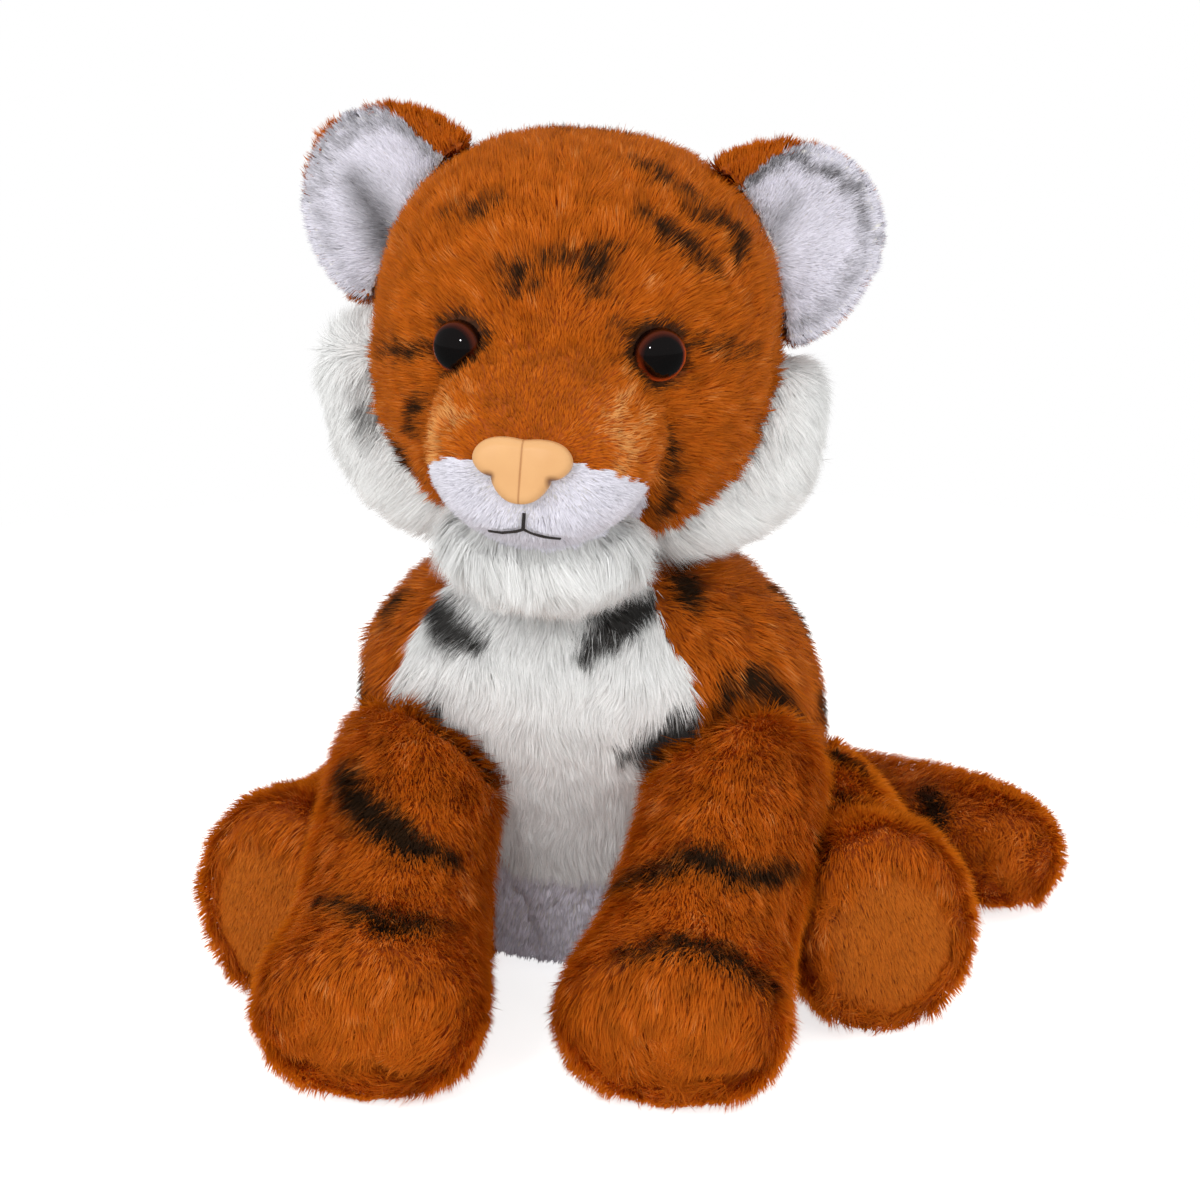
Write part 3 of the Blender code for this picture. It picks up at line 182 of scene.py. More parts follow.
def cut_panels(form, insets, seam=None, filling=None, crown=None, margin=0.0013):
    """Cuts a form into its sewn panels. insets gives, for each CAD cover, how deep its backing lies in it.
    seam moves faces from one panel to another, filling is the node that stays inside by the margin, and
    crown is a panel that bulges, with its height and how far from its edge it has all of it. Returns each
    panel's object, and its triangles' corners, normals and slow swirls for the pile to grow from."""
    mesh = form.data
    co = read(mesh.vertices, "co", 3)
    covers = list(insets)
    trees = [surface_tree(n) for n in covers]
    away = np.array([[tree.find_nearest(p.center)[3] for tree in trees] for p in mesh.polygons])
    owner = away.argmin(axis=1)
    if seam:
        seam(np.array([p.center for p in mesh.polygons]), owner)
    totals = read(mesh.polygons, "loop_total", 1, np.int64)
    corner = read(mesh.loops, "vertex_index", 1, np.int64)
    depth, uses = np.zeros(len(co)), np.zeros(len(co))
    face = np.repeat(np.arange(len(totals)), totals)
    np.add.at(depth, corner, np.array(list(insets.values()))[owner][face])
    np.add.at(uses, corner, 1)
    depth /= uses
    normals = read(mesh.vertex_normals, "vector", 3)
    co -= normals * depth[:, None]
    if crown:
        cover, height, reach = crown
        mine = owner == covers.index(cover)
        edge = point_tree([p.center.copy() for p, yes in zip(mesh.polygons, mine) if not yes])
        for i in set(corner[mine[face]]):
            share = min(edge.find(mesh.vertices[i].co)[2] / reach, 1.0)
            co[i] += normals[i] * height * (1 - (1 - share) ** 2)
    if filling:
        tree = surface_tree(filling)
        for i, p in enumerate(co):
            near, out = tree.find_nearest(p, 0.005)[:2]
            if near is not None:
                over = margin - float(np.dot(p - near, out))
                if over > 0:
                    co[i] += np.array(out) * over
    co[:, 2] = np.maximum(co[:, 2], FLOOR_GAP)
    mesh.vertices.foreach_set("co", co.ravel())
    mesh.update()
    noise.seed_set(3)  # without it, Blender starts noise_vector from the clock
    swirls = np.array([noise.noise_vector(v.co / SWIRL_SIZE) for v in mesh.vertices])
    mesh.calc_loop_triangles()
    triangles = read(mesh.loop_triangles, "vertices", 3, np.int64)
    sides = read(mesh.loop_triangles, "polygon_index", 1, np.int64)
    panels = {}
    for k, cover in enumerate(covers):
        panel = add_object(cover.replace("_skin", "") + "_cover", mesh.copy())
        for items in (panel.data.vertices, panel.data.edges):
            items.foreach_set("select", np.zeros(len(items), bool))
        panel.data.polygons.foreach_set("select", owner != k)
        bpy.ops.object.mode_set(mode="EDIT")
        bpy.ops.mesh.select_mode(type="FACE")
        bpy.ops.mesh.delete(type="FACE")
        bpy.ops.object.mode_set(mode="OBJECT")
        backing = panel.modifiers.new("backing", "SOLIDIFY")
        backing.thickness, backing.offset = BACKING, -1
        bpy.ops.object.modifier_apply(modifier="backing")
        bpy.ops.object.shade_smooth()
        chosen = triangles[owner[sides] == k]
        panels[cover] = {"object": panel, "corners": co[chosen], "normals": normals[chosen],
                         "swirls": swirls[chosen]}
    bpy.data.objects.remove(form)
    return panels


def dye_and_shade(points, strokes, ragged=0.0, soft=0.0024):
    """How deep each point lies in the strokes, from 0 to 1: the cloth's stripes, and the places where shade
    is painted, in the ear hollows and along the paw creases. A stroke is its half width and its path, in
    millimetres, and it thins out towards its ends. ragged, in metres, moves the edge in or out at each
    point, and soft is how wide the edge is."""
    depth = np.zeros(len(points))
    for width, path in strokes:
        path = np.array(path) / 1000
        for i, (a, b) in enumerate(zip(path[:-1], path[1:])):
            step = b - a
            t = np.clip((points - a) @ step / (step @ step), 0, 1)
            share = (i + t) / (len(path) - 1)
            half = width / 1000 * (0.55 + 0.45 * np.sin(np.pi * share))
            gap = np.linalg.norm(points - (a + t[:, None] * step), axis=1)
            depth = np.maximum(depth, np.clip((half + ragged - gap) / soft + 0.5, 0, 1))
    return depth


def dyed_in(strokes, dark, ragged=1.0, soft=0.004):
    """The stripes of one panel: its strokes, how dark they are, and how ragged and soft their edges are."""
    return lambda points, edge: dark * dye_and_shade(points, strokes, ragged * edge, soft)


def unit(vectors, least=0.0):
    return vectors / np.maximum(np.linalg.norm(vectors, axis=1), least)[:, None]


def grow_pile(name, panel, body, slot, per_mm2, length, comb, rise=0.68, width=0.0004, clump=0.25, swirl=0.5,
              tuft=0.3, lock=24, nap=0.25, front=0.0, dyed_and_shaded=None, cut=None, keep_off=(), clear=0.001,
              shaded=None, seed=1):
    """Pile on a panel: kite-shaped strands of two triangles, rooted on its backing and bent the way that
    comb says. rise is how steeply they stand, clump how far their tips are drawn to those of their tuft,
    swirl how much their lie wanders, tuft how round a tuft is shaded, lock how many strands it has, and nap
    how much patches differ in tint. front sets how much denser the pile stands where it faces forward, cut
    gives each root's share of the length, shaded lowers its tint, for a deeper tone and for painted shade,
    and raises it where it is negative, for a painted highlight, and keep_off names the hard pieces that the
    pile is trimmed round, with a bare strip clear wide."""
    rng = np.random.default_rng(seed)
    a, b, c = panel["corners"].transpose(1, 0, 2)
    area = np.linalg.norm(np.cross(b - a, c - a), axis=1) / 2
    count = int(area.sum() * 1e6 * per_mm2 * (1))
    area *= 1 - front * panel["normals"].mean(1)[:, 1]
    width *= 1
    pick = rng.choice(len(area), count, p=area / area.sum())
    u, v = rng.random((2, count))
    over = u + v > 1
    u[over], v[over] = 1 - u[over], 1 - v[over]
    weights = np.stack([1 - u - v, u, v], 1)[:, :, None]
    root = (panel["corners"][pick] * weights).sum(1)
    normal = unit((panel["normals"][pick] * weights).sum(1))
    drift = (panel["swirls"][pick] * weights).sum(1)
    size = length * rng.uniform(0.72, 1.12, count)
    stay = np.ones(count, bool)
    if cut is not None:
        share = cut(root, normal)
        size *= share
        stay &= share > 0.02
    for hard in keep_off:
        tree = surface_tree(hard)
        gap = np.full(count, TRIM_REACH)
        for i, p in enumerate(root):
            near, out, _, away = tree.find_nearest(p, TRIM_REACH)
            if near is not None:
                gap[i] = away if np.dot(p - near, out) > 0 else -away
        stay &= gap > clear
        size *= 0.55 + 0.45 * np.clip((gap - clear) / TRIM_RAMP, 0, 1)
    root, normal, drift, size = root[stay], normal[stay], drift[stay], size[stay]
    count = len(root)
    flow = comb(root, normal) + swirl * drift + rng.normal(0, 0.13, (count, 3))
    flow -= normal * (flow * normal).sum(1)[:, None]
    flow = unit(flow, 1e-6)
    lift = np.clip(rise + 0.12 * drift[:, :1] + rng.normal(0, 0.1, (count, 1)), 0.15, 0.95)
    lay = np.sqrt(1 - lift ** 2)
    tip = root + size[:, None] * (normal * lift + flow * lay)
    middle = root + 0.5 * size[:, None] * (normal * (0.7 * lift + 0.3) + flow * lay * 0.65)
    leaders = rng.choice(count, max(count // lock, 1), replace=False)
    near = point_tree(root[leaders])
    leader = leaders[[near.find(p)[1] for p in root]]
    pull = clump * rng.uniform(0.5, 1.2, (count, 1))
    tip += pull * (tip[leader] - tip)
    middle += pull * (middle[leader] - middle) * 0.4
    for points in (middle, tip):
        points[:, 2] = np.maximum(points[:, 2], rng.uniform(0.0002, 0.0016, count))
    along = tip - root
    across = unit(np.cross(along, normal), 1e-9)
    turn = rng.uniform(-0.45, 0.45, (count, 1))
    across = across * np.cos(turn) + normal * np.sin(turn)
    half = width * rng.uniform(0.75, 1.25, (count, 1)) / 2
    places = np.stack([root, middle + across * half, middle - across * half, tip], 1)
    places[:, :, 2] = np.maximum(places[:, :, 2], FLOOR_GAP)
    mesh = bpy.data.meshes.new(name)
    mesh.vertices.add(count * 4)
    mesh.vertices.foreach_set("co", places.astype(np.float32).ravel())
    mesh.loops.add(count * 6)
    first = np.arange(count)[:, None] * 4
    mesh.loops.foreach_set("vertex_index", (first + [0, 1, 2, 2, 1, 3]).astype(np.int32).ravel())
    mesh.polygons.add(count * 2)
    mesh.polygons.foreach_set("loop_start", (np.arange(count * 2) * 3).astype(np.int32))
    mesh.update(calc_edges=True)
    mesh.polygons.foreach_set("use_smooth", np.ones(count * 2, bool))
    # A strand is shaded as its place in a rounded tuft, so that the cloth looks soft.
    facing = unit(normal + tuft * (root - root[leader]) / TUFT_RADIUS + rng.normal(0, 0.1, (count, 3)))
    mesh.attributes.new("custom_normal", "FLOAT_VECTOR", "POINT").data.foreach_set(
        "vector", np.repeat(facing, 4, axis=0).astype(np.float32).ravel())
    tint = rng.random(count) - (shaded(root) if shaded else 0.0)
    tint += nap * np.array([noise.noise(p) for p in root / NAP_SIZE])
    values = {"along": np.tile([0, 0.5, 0.5, 1], count), "tint": np.repeat(tint, 4),
              "dye_and_shade": np.zeros(count * 4)}
    if dyed_and_shaded is not None:
        seen = root + flow * (size[:, None] * lay * 0.7)
        edge = np.array([noise.noise(p) for p in root / EDGE_SIZE]) * EDGE_WANDER
        values["dye_and_shade"] = np.repeat(dyed_and_shaded(seen, edge + rng.normal(0, EDGE_STRAY, count)), 4)
    for key, value in values.items():
        mesh.attributes.new(key, "FLOAT", "POINT").data.foreach_set("value", value.astype(np.float32))
    # Each strand has its own cell on the map, next to the cells of the strands beside it.
    across_map = int(np.ceil(np.sqrt(count)))
    order = np.argsort(root[:, 2])
    rows = np.minimum(np.arange(count) // across_map, across_map - 1)
    order = order[np.lexsort((np.arctan2(*(root - root.mean(0))[order, :2].T), rows))]
    cell = np.empty((count, 2))
    cell[order] = np.stack([np.arange(count) % across_map, np.arange(count) // across_map], 1)
    inside = np.array([[0.5, 0.05], [0.95, 0.5], [0.05, 0.5], [0.05, 0.5], [0.95, 0.5], [0.5, 0.95]])
    unwrapped = (cell[:, None] + inside[None]) / across_map
    mesh.uv_layers.new(name="OFBake").uv.foreach_set("vector", unwrapped.astype(np.float32).ravel())
    mesh.materials.append(PLUSH[slot][0])
    pile = add_object(name, mesh)
    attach(pile, body)


def pile_finish(name, root, tip, dyed_and_shaded, roughness):
    """Cut acrylic pile: darker and redder at its root and paler at its tip, which is painted shade deep in
    the pile and a painted sheen on the tips, with a fibre-to-fibre tint.
    """
    material = empty_material(name)
    along = node(material, "Attribute", attribute_name="along").outputs["Fac"]
    tint = node(material, "Attribute", attribute_name="tint").outputs["Fac"]
    dark = node(material, "Attribute", attribute_name="dye_and_shade").outputs["Fac"]
    fibres = node(material, "Mix", {0: along, 6: linear(root), 7: linear(tip)}, data_type="RGBA")
    # The tint also carries painted shade along the paw creases, and a painted highlight on the muzzle puffs,
    # which shows paler and more golden.
    value = node(material, "MapRange", {"Value": tint, "From Min": -1.0, "From Max": 2.0, "To Min": 0.52,
                                        "To Max": 1.42})
    paler = node(material, "MapRange", {"Value": tint, "From Min": 1.0, "From Max": 2.0, "To Min": 1.0,
                                        "To Max": 0.86})
    golden = node(material, "MapRange", {"Value": tint, "From Min": 1.0, "From Max": 2.0, "To Min": 0.5,
                                         "To Max": 0.528})
    varied = node(material, "HueSaturation", {"Color": fibres.outputs[2], "Value": value,
                                              "Saturation": paler, "Hue": golden})
    # The dark colour is for the stripes, and also for painted shadow in the ear hollows.
    striped = node(material, "Mix", {0: dark, 6: varied, 7: linear(dyed_and_shaded)}, data_type="RGBA")
    # A fibre lets light through: seen from its root's side, it shows what falls on its other side.
    shader = node(material, "BsdfPrincipled", {"Base Color": striped.outputs[2], "Roughness": roughness,
                                               "Specular IOR Level": 0.06})
    through = node(material, "BsdfTranslucent", {"Color": striped.outputs[2]})
    behind = node(material, "NewGeometry").outputs["Backfacing"]
    lit = node(material, "MixShader", {0: behind, 1: shader, 2: through})
    node(material, "OutputMaterial", {"Surface": lit})
    return material


def backing_finish(name, colour, shade):
    """Knitted backing under the pile: matt, with loops 1.4 mm apart and the pile's colour in between."""
    material = empty_material(name)
    place = node(material, "TexCoord").outputs["Object"]
    loops = node(material, "TexNoise", {"Vector": place, "Scale": 700.0, "Detail": 2.0})
    dark = node(material, "Attribute", attribute_name="dye_and_shade").outputs["Fac"]
    knit = node(material, "Mix", {0: loops, 6: linear(shade), 7: linear(colour)}, data_type="RGBA")
    striped = node(material, "Mix", {0: dark, 6: knit.outputs[2], 7: linear("#1F1A12")}, data_type="RGBA")
    bump = node(material, "Bump", {"Height": loops, "Strength": 0.5, "Distance": 0.0006})
    shader = node(material, "BsdfPrincipled", {"Base Color": striped.outputs[2], "Roughness": 0.95,
                                               "Normal": bump})
    node(material, "OutputMaterial", {"Surface": shader})
    return material


white_backing = backing_finish("white_knitted_backing", "#E2DFDA", "#D2CFCA")
PLUSH = {  # each slot's pile and backing
    "orange_plush": (pile_finish("orange_acrylic_plush_pile", "#9E4B08", "#B95F11", "#1F1910", 0.5),
                     backing_finish("orange_knitted_backing", "#B0560F", "#98480C")),
    "white_long_plush": (pile_finish("white_long_acrylic_pile", "#D0D0CF", "#E3E3E2", "#2C2A28", 0.55),
                         white_backing),
    "white_short_plush": (pile_finish("white_short_acrylic_pile", "#CFCDD5", "#DEDCE5", "#2C2A28", 0.5),
                          white_backing),
}


def dress(panel, body, cover, slot, dyed_and_shaded=None):
    """Gives a panel its backing and its strokes' values, puts it on its body, and hides the CAD cover that
    it stands for.
    """
    ob = panel["object"]
    ob.data.materials.append(PLUSH[slot][1])
    co = np.array([v.co for v in ob.data.vertices])
    values = dyed_and_shaded(co, 0.0) if dyed_and_shaded else np.zeros(len(co))
    ob.data.attributes.new("dye_and_shade", "FLOAT", "POINT").data.foreach_set("value", values.astype(np.float32))
    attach(ob, body)
    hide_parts(cover)


NECK = np.array([-0.002, 0.002, 0.139])
SOCKET_IN_BODY, SOCKET_IN_HEAD = 0.0275, 0.028  # radii round the neck's ball
BODY_STRIPES = [
    (5, [(-55, -21, 118), (-58, -18, 110), (-60, -14, 103)]),
    (7, [(40, -18, 133), (37, -25, 130), (38, -31, 124)]),
    (4.5, [(47, -42, 93), (52, -38, 100), (58, -32, 101), (65, -22, 90), (70, -10, 73)]),
    (5, [(-66, -18, 92), (-68, -14, 84), (-68, -10, 78)]),
    (5, [(-44, 0, 130), (-24, 40, 121), (0, 40, 127), (22, 42, 120), (42, 13, 129)]),
    (5, [(-62, 21, 108), (-40, 51, 98), (-18, 56, 103), (4, 61, 97), (28, 53, 103), (48, 46, 97),
         (64, 19, 107)]),
    (5, [(-68, 31, 80), (-46, 59, 73), (-22, 68, 79), (4, 73, 72), (28, 66, 78), (50, 56, 72),
         (66, 35, 80)]),
    (5, [(-64, 45, 56), (-42, 68, 48), (-18, 76, 54), (2, 80, 47), (24, 75, 53), (46, 65, 48),
         (62, 48, 56)]),
    (4.4, [(-52, 59, 31), (-34, 68, 25), (-14, 77, 30)]),
    (4.6, [(57, 6, 120), (67, 16, 104), (62, 30, 98)]), (4.6, [(73, 2, 86), (73, 14, 76), (69, 30, 78)]),
    (4.6, [(-57, 6, 120), (-67, 16, 104), (-62, 30, 98)]),
    (4.6, [(-73, 2, 86), (-73, 14, 76), (-69, 30, 78)]),
]
BIB_STRIPES = [
    (5.5, [(-44, -32, 121), (-35, -45, 115), (-23, -51, 112)]),
    (5.5, [(32, -36, 126), (22, -44, 122), (14, -51, 118), (11, -54, 112)]),
    (4, [(-50, -38, 88), (-38, -47, 87), (-28, -50, 83), (-20, -50, 74)]),
    (5.5, [(45, -44, 95), (40, -46, 89), (31, -49, 85), (23, -52, 83)]),
]


body_dye = dyed_in(BODY_STRIPES, 0.97, soft=0.0036)
bib_dye = dyed_in(BIB_STRIPES, 0.97, soft=0.003)


def off_floor(root, normal):
    """The pile is pressed short where the toy sits on the floor."""
    return np.where((normal[:, 2] < -0.7) & (root[:, 2] < 0.006), 0.45, 1.0)


def off_neck(root, radius):
    """No pile where the neck's ball of filling sits."""
    return np.where(np.linalg.norm(root - NECK, axis=1) < radius, 0.0, 1.0)


def body_length(root, normal):
    """Shorter under the seat, and longer over the tops of the front legs."""
    shoulder = (np.abs(root[:, 0]) > 0.035) & (root[:, 1] < -0.01) & (np.abs(root[:, 2] - 0.095) < 0.012)
    return off_neck(root, SOCKET_IN_BODY) * off_floor(root, normal) * np.where(shoulder, 1.3, 1.0)


def combed(aside, back, down, after=0.0):
    """A lie of the pile: outwards by aside for each metre from the middle, and back and down by these
    shares. after is how much further back it lies with each metre towards the tail."""
    def comb(root, normal):
        return np.stack([root[:, 0] * aside, back + root[:, 1] * after, np.full(len(root), -down)], 1)
    return comb


def bib_seam(centres, owner):
    """The bib narrows towards the neck and again towards the seat."""
    x, z = centres[:, 0], centres[:, 2]
    left = np.interp(z, [0.044, 0.07, 0.086, 0.1, 0.112, 0.128, 0.14],
                     [0.016, 0.03, 0.043, 0.041, 0.038, 0.027, 0.02])
    right = np.interp(z, [0.044, 0.062, 0.08, 0.1, 0.112, 0.128, 0.14],
                      [-0.02, -0.034, -0.05, -0.05, -0.047, -0.036, -0.03])
    back, bib = 0, 1
    owner[(owner == bib) & ((x > left) | (x < right))] = back


down_the_body = combed(3, 0.25, 1.0, after=3)
torso = cut_panels(cover_form("torso", ("back_skin", "chest_bib", "belly_panel", "body_stuffing")),
                   {"back_skin": LONG_INSET, "chest_bib": LONG_INSET, "belly_panel": SHORT_INSET}, bib_seam,
                   "body_stuffing")
dress(torso["back_skin"], "torso", "back_skin", "orange_plush", body_dye)
dress(torso["chest_bib"], "torso", "chest_bib", "white_long_plush", bib_dye)
dress(torso["belly_panel"], "torso", "belly_panel", "white_short_plush")
grow_pile("back_pile", torso["back_skin"], "torso", "orange_plush", 2.0, 0.0086, down_the_body,
          nap=1.0, front=0.35, dyed_and_shaded=body_dye, cut=body_length, seed=11)
grow_pile("bib_pile", torso["chest_bib"], "torso", "white_long_plush", 9.0, 0.0115,
          combed(8, -0.3, 1.0), rise=0.5, width=0.00026, clump=0.35, swirl=0.9, tuft=0.12, lock=70,
          front=0.5, dyed_and_shaded=bib_dye, cut=body_length, seed=12)
grow_pile("belly_pile", torso["belly_panel"], "torso", "white_short_plush", 3.0, 0.0035,
          down_the_body, cut=body_length, seed=13)


# Neck cover: the tube of plush that joins the body to the head, drawn round the firm ball of filling that
# the head turns on. It is orange behind and white under the chin.

CHIN_SIDE = -0.008  # where, from front to back, the white pile ends and the orange one starts


def behind(root, normal):
    """Pile where the neck can be seen between the covers, and none on the side in front."""
    return np.where((root[:, 1] > CHIN_SIDE) & (root[:, 2] > 0.128) & (root[:, 2] < 0.156), 1.0, 0.0)


def below_chin(root, normal):
    return np.where((root[:, 1] <= CHIN_SIDE) & (root[:, 2] > 0.128) & (root[:, 2] < 0.15), 1.0, 0.0)


neck = cut_panels(cover_form("neck", ("neck_stuffing",), 0.002), {"neck_stuffing": -0.0009},
                  filling="neck_stuffing")["neck_stuffing"]
neck["object"].name = "neck_cover"
dress(neck, "neck", "neck_stuffing", "orange_plush")
grow_pile("neck_pile", neck, "neck", "orange_plush", 3.0, 0.0085, down_the_body, cut=behind,
          seed=15)
grow_pile("neck_front_pile", neck, "neck", "white_long_plush", 5.0, 0.009, down_the_body,
          cut=below_chin, width=0.0003, tuft=0.12, lock=70, seed=16)


# Head cover: orange plush crown and cheeks, shorter over the nose bridge, a white short-pile muzzle, a
# white long-pile chin and two white cheek ruffs, sewn round a firm filling.

NOSE_TIP = np.array([0.004, -0.100, 0.186])
PUFFS = np.array([[-0.026, -0.090, 0.193], [0.028, -0.086, 0.193]])
EYES = np.array([[0.0338, -0.0594, 0.2102], [-0.0264, -0.0659, 0.2114]])
FACE_STRIPES = [
    (5.4, [(-13, -64, 237), (-8, -66, 235), (-4, -66, 233)]),
    (4.8, [(18, -58, 242), (15, -61, 238), (15, -64, 231)]),
    (1.8, [(-4, -64, 238), (1, -63, 240), (7, -62, 240), (13, -61, 238)]),
    (3.2, [(-33, -47, 249), (-26, -50, 251), (-21, -50, 252), (-17, -50, 254)]),
    (3, [(18, -24, 262), (24, -27, 260), (30, -28, 256), (37, -26, 252)]),
    (3.6, [(25, -45, 250), (33, -45, 244), (40, -42, 239), (45, -39, 233)]),
    (4, [(38, -33, 248), (44, -26, 245), (50, -21, 240), (49, -30, 235)]),
    (2.4, [(42, -52, 214), (47, -46, 211), (53, -38, 209), (56, -29, 207)]),
    (2.6, [(-36, -61, 211), (-42, -55, 208), (-50, -49, 207), (-58, -37, 204)]),
    (1.8, [(22, -64, 225), (24, -64, 219), (26, -64, 212), (27, -67, 206)]),
    (3.4, [(-39, -57, 193), (-43, -53, 188), (-46, -48, 182)]),
    (4.6, [(-56, -34, 172), (-52, -35, 169), (-48, -37, 164)]),
    (3.4, [(35, -57, 188), (35, -53, 181), (35, -48, 173), (34, -44, 166)]),
    (5, [(35, -42, 164), (32, -39, 159), (30, -37, 156)]),
    (3.6, [(-22, 5, 266), (-14, 8, 266), (-6, 4, 267), (4, 8, 265), (14, 6, 264)]),
    (3.6, [(-24, 20, 261), (-12, 24, 262), (0, 20, 263), (12, 23, 260), (18, 19, 260)]),
    (4, [(-34, 39, 238), (-20, 48, 232), (-4, 49, 236), (14, 48, 231), (28, 39, 236)]),
    (4.4, [(-44, 39, 214), (-24, 50, 206), (-4, 53, 211), (16, 50, 205), (36, 38, 212)]),
    (4.4, [(-42, 37, 188), (-22, 45, 180), (-4, 49, 186), (16, 44, 179), (34, 36, 186)]),
    (4, [(-26, 36, 163), (-6, 37, 158), (16, 36, 163)]),
]
RUFF_STRIPES = [(6, [(-67, -30, 185), (-65, -32, 179), (-63, -33, 173)]),
                (5, [(60, -12, 190), (56, -16, 180), (52, -19, 171), (48, -23, 162)])]


def face_dye(points, edge):
    ring = np.linalg.norm(points[:, None] - EYES[None], axis=2).min(1)
    lids = np.clip((0.0122 + edge - ring) / 0.002, 0, 1) * 0.9
    return np.maximum(0.95 * dye_and_shade(points, FACE_STRIPES, 1.5 * edge, 0.0044), lids)


ruff_dye = dyed_in(RUFF_STRIPES, 0.8, soft=0.006)


def chin_length(root, normal):
    return off_neck(root, SOCKET_IN_HEAD)


def short_on_bridge(root, normal):
    """The pile is shorter between the eyes and on the muzzle, and there is none inside the neck."""
    near = np.linalg.norm(root - np.array([0.004, -0.088, 0.2]), axis=1)
    share = 0.42 + 0.58 * np.clip((near - 0.018) / 0.026, 0, 1)
    return share * off_neck(root, SOCKET_IN_HEAD)


def bridge_tone_and_puff_highlights(root):
    """The nose bridge is a deeper orange, and the two puffs beside the nose are paler: a painted highlight
    on their bulges.
    """
    across = np.abs(root[:, 0] - 0.003 - 0.1 * (root[:, 2] - 0.2)) / 0.015
    bridge = np.clip(1.6 - across, 0, 1) * np.clip((0.226 - root[:, 2]) / 0.012, 0, 1) * (root[:, 1] < -0.05)
    puffs = [np.clip(1.5 - np.linalg.norm((root - p) / (0.011, 0.014, 0.014), axis=1), 0, 1) for p in PUFFS]
    return 0.3 * bridge - 0.9 * np.maximum(*puffs)


def muzzle_seam(centres, owner):
    """The white of the muzzle starts beside the nose, and its edge slopes down towards the cheeks."""
    edge = np.interp(centres[:, 1], [-0.104, -0.098, -0.091, -0.083, -0.06, -0.041],
                     [0.1865, 0.185, 0.181, 0.1765, 0.17, 0.164])
    face, muzzle = 0, 1
    owner[(owner == muzzle) & (centres[:, 2] > edge)] = face
    owner[(owner == face) & (centres[:, 2] < edge) & (centres[:, 1] < -0.07)] = muzzle


def short_at_mouth(root, normal):
    """The pile is pressed down along the thread of the mouth."""
    gap = np.array([mouth_tree.find_nearest(p)[3] for p in root])
    return 0.3 + 0.7 * np.clip((gap - 0.0022) / 0.0022, 0, 1)


def back_from_nose(root, normal):
    flow = unit(root - NOSE_TIP)
    flow[:, 2] -= np.clip(root[:, 1] / 0.03, 0, 1) * 1.6
    return flow


def out_of_the_ruff(root, normal):
    """Down and back over the cheek, and outwards at its lower corner."""
    low = np.clip((0.18 - root[:, 2]) / 0.03, 0, 1)
    high = np.clip((root[:, 2] - 0.195) / 0.01, 0, 1)
    return np.stack([np.sign(root[:, 0] + 0.005) * (0.2 + 0.65 * low - 0.4 * high), np.full(len(root), 0.4),
                     -0.9 + 0.4 * low + 1.9 * high], 1)


def longer_below(root, normal):
    low = np.clip((0.185 - root[:, 2]) / 0.03, 0, 1)
    high = np.clip((root[:, 2] - 0.188) / 0.008, 0, 1)
    return off_neck(root, SOCKET_IN_HEAD) * (0.72 + 0.4 * low + 0.3 * high)


head = cut_panels(cover_form("head", ("face_skin", "muzzle_skin", "chin_skin", "cheek_ruff_l",
                                      "cheek_ruff_r", "head_stuffing", "eye_l", "eye_r"), 0.0024),
                  {"face_skin": LONG_INSET, "muzzle_skin": SHORT_INSET, "chin_skin": LONG_INSET,
                   "cheek_ruff_l": 0.003, "cheek_ruff_r": 0.003}, muzzle_seam, "head_stuffing")
mouth_tree = surface_tree("mouth_stitching")
dress(head["face_skin"], "head", "face_skin", "orange_plush", face_dye)
dress(head["muzzle_skin"], "head", "muzzle_skin", "white_short_plush")
dress(head["chin_skin"], "head", "chin_skin", "white_long_plush")
grow_pile("face_pile", head["face_skin"], "head", "orange_plush", 2.3, 0.0068, back_from_nose,
          rise=0.62, width=0.0003, clump=0.16, swirl=0.65, tuft=0.24, lock=40, nap=1.0, front=0.5,
          dyed_and_shaded=face_dye, cut=short_on_bridge, keep_off=("eye_l", "eye_r", "nose"), shaded=bridge_tone_and_puff_highlights,
          seed=21)
grow_pile("muzzle_pile", head["muzzle_skin"], "head", "white_short_plush", 7.5, 0.0036,
          back_from_nose, width=0.0003, clump=0.1, swirl=0.25, tuft=0.12, cut=short_at_mouth,
          keep_off=("nose",), clear=0.0003, seed=22)
grow_pile("chin_pile", head["chin_skin"], "head", "white_long_plush", 8.0, 0.0165,
          combed(10, -0.3, 1.0), rise=0.4, width=0.00026, clump=0.5, swirl=0.9, tuft=0.2, lock=90,
          cut=chin_length, keep_off=("mouth_stitching",), seed=23)
for side, seed in (("l", 24), ("r", 25)):
    cover = "cheek_ruff_" + side
    dress(head[cover], "head", cover, "white_long_plush", ruff_dye)
    grow_pile(cover + "_pile", head[cover], "head", "white_long_plush", 7.5, 0.0125,
              out_of_the_ruff, rise=0.36, width=0.00026, clump=0.3, swirl=0.5, tuft=0.12, lock=70,
              dyed_and_shaded=ruff_dye, cut=longer_below, seed=seed)
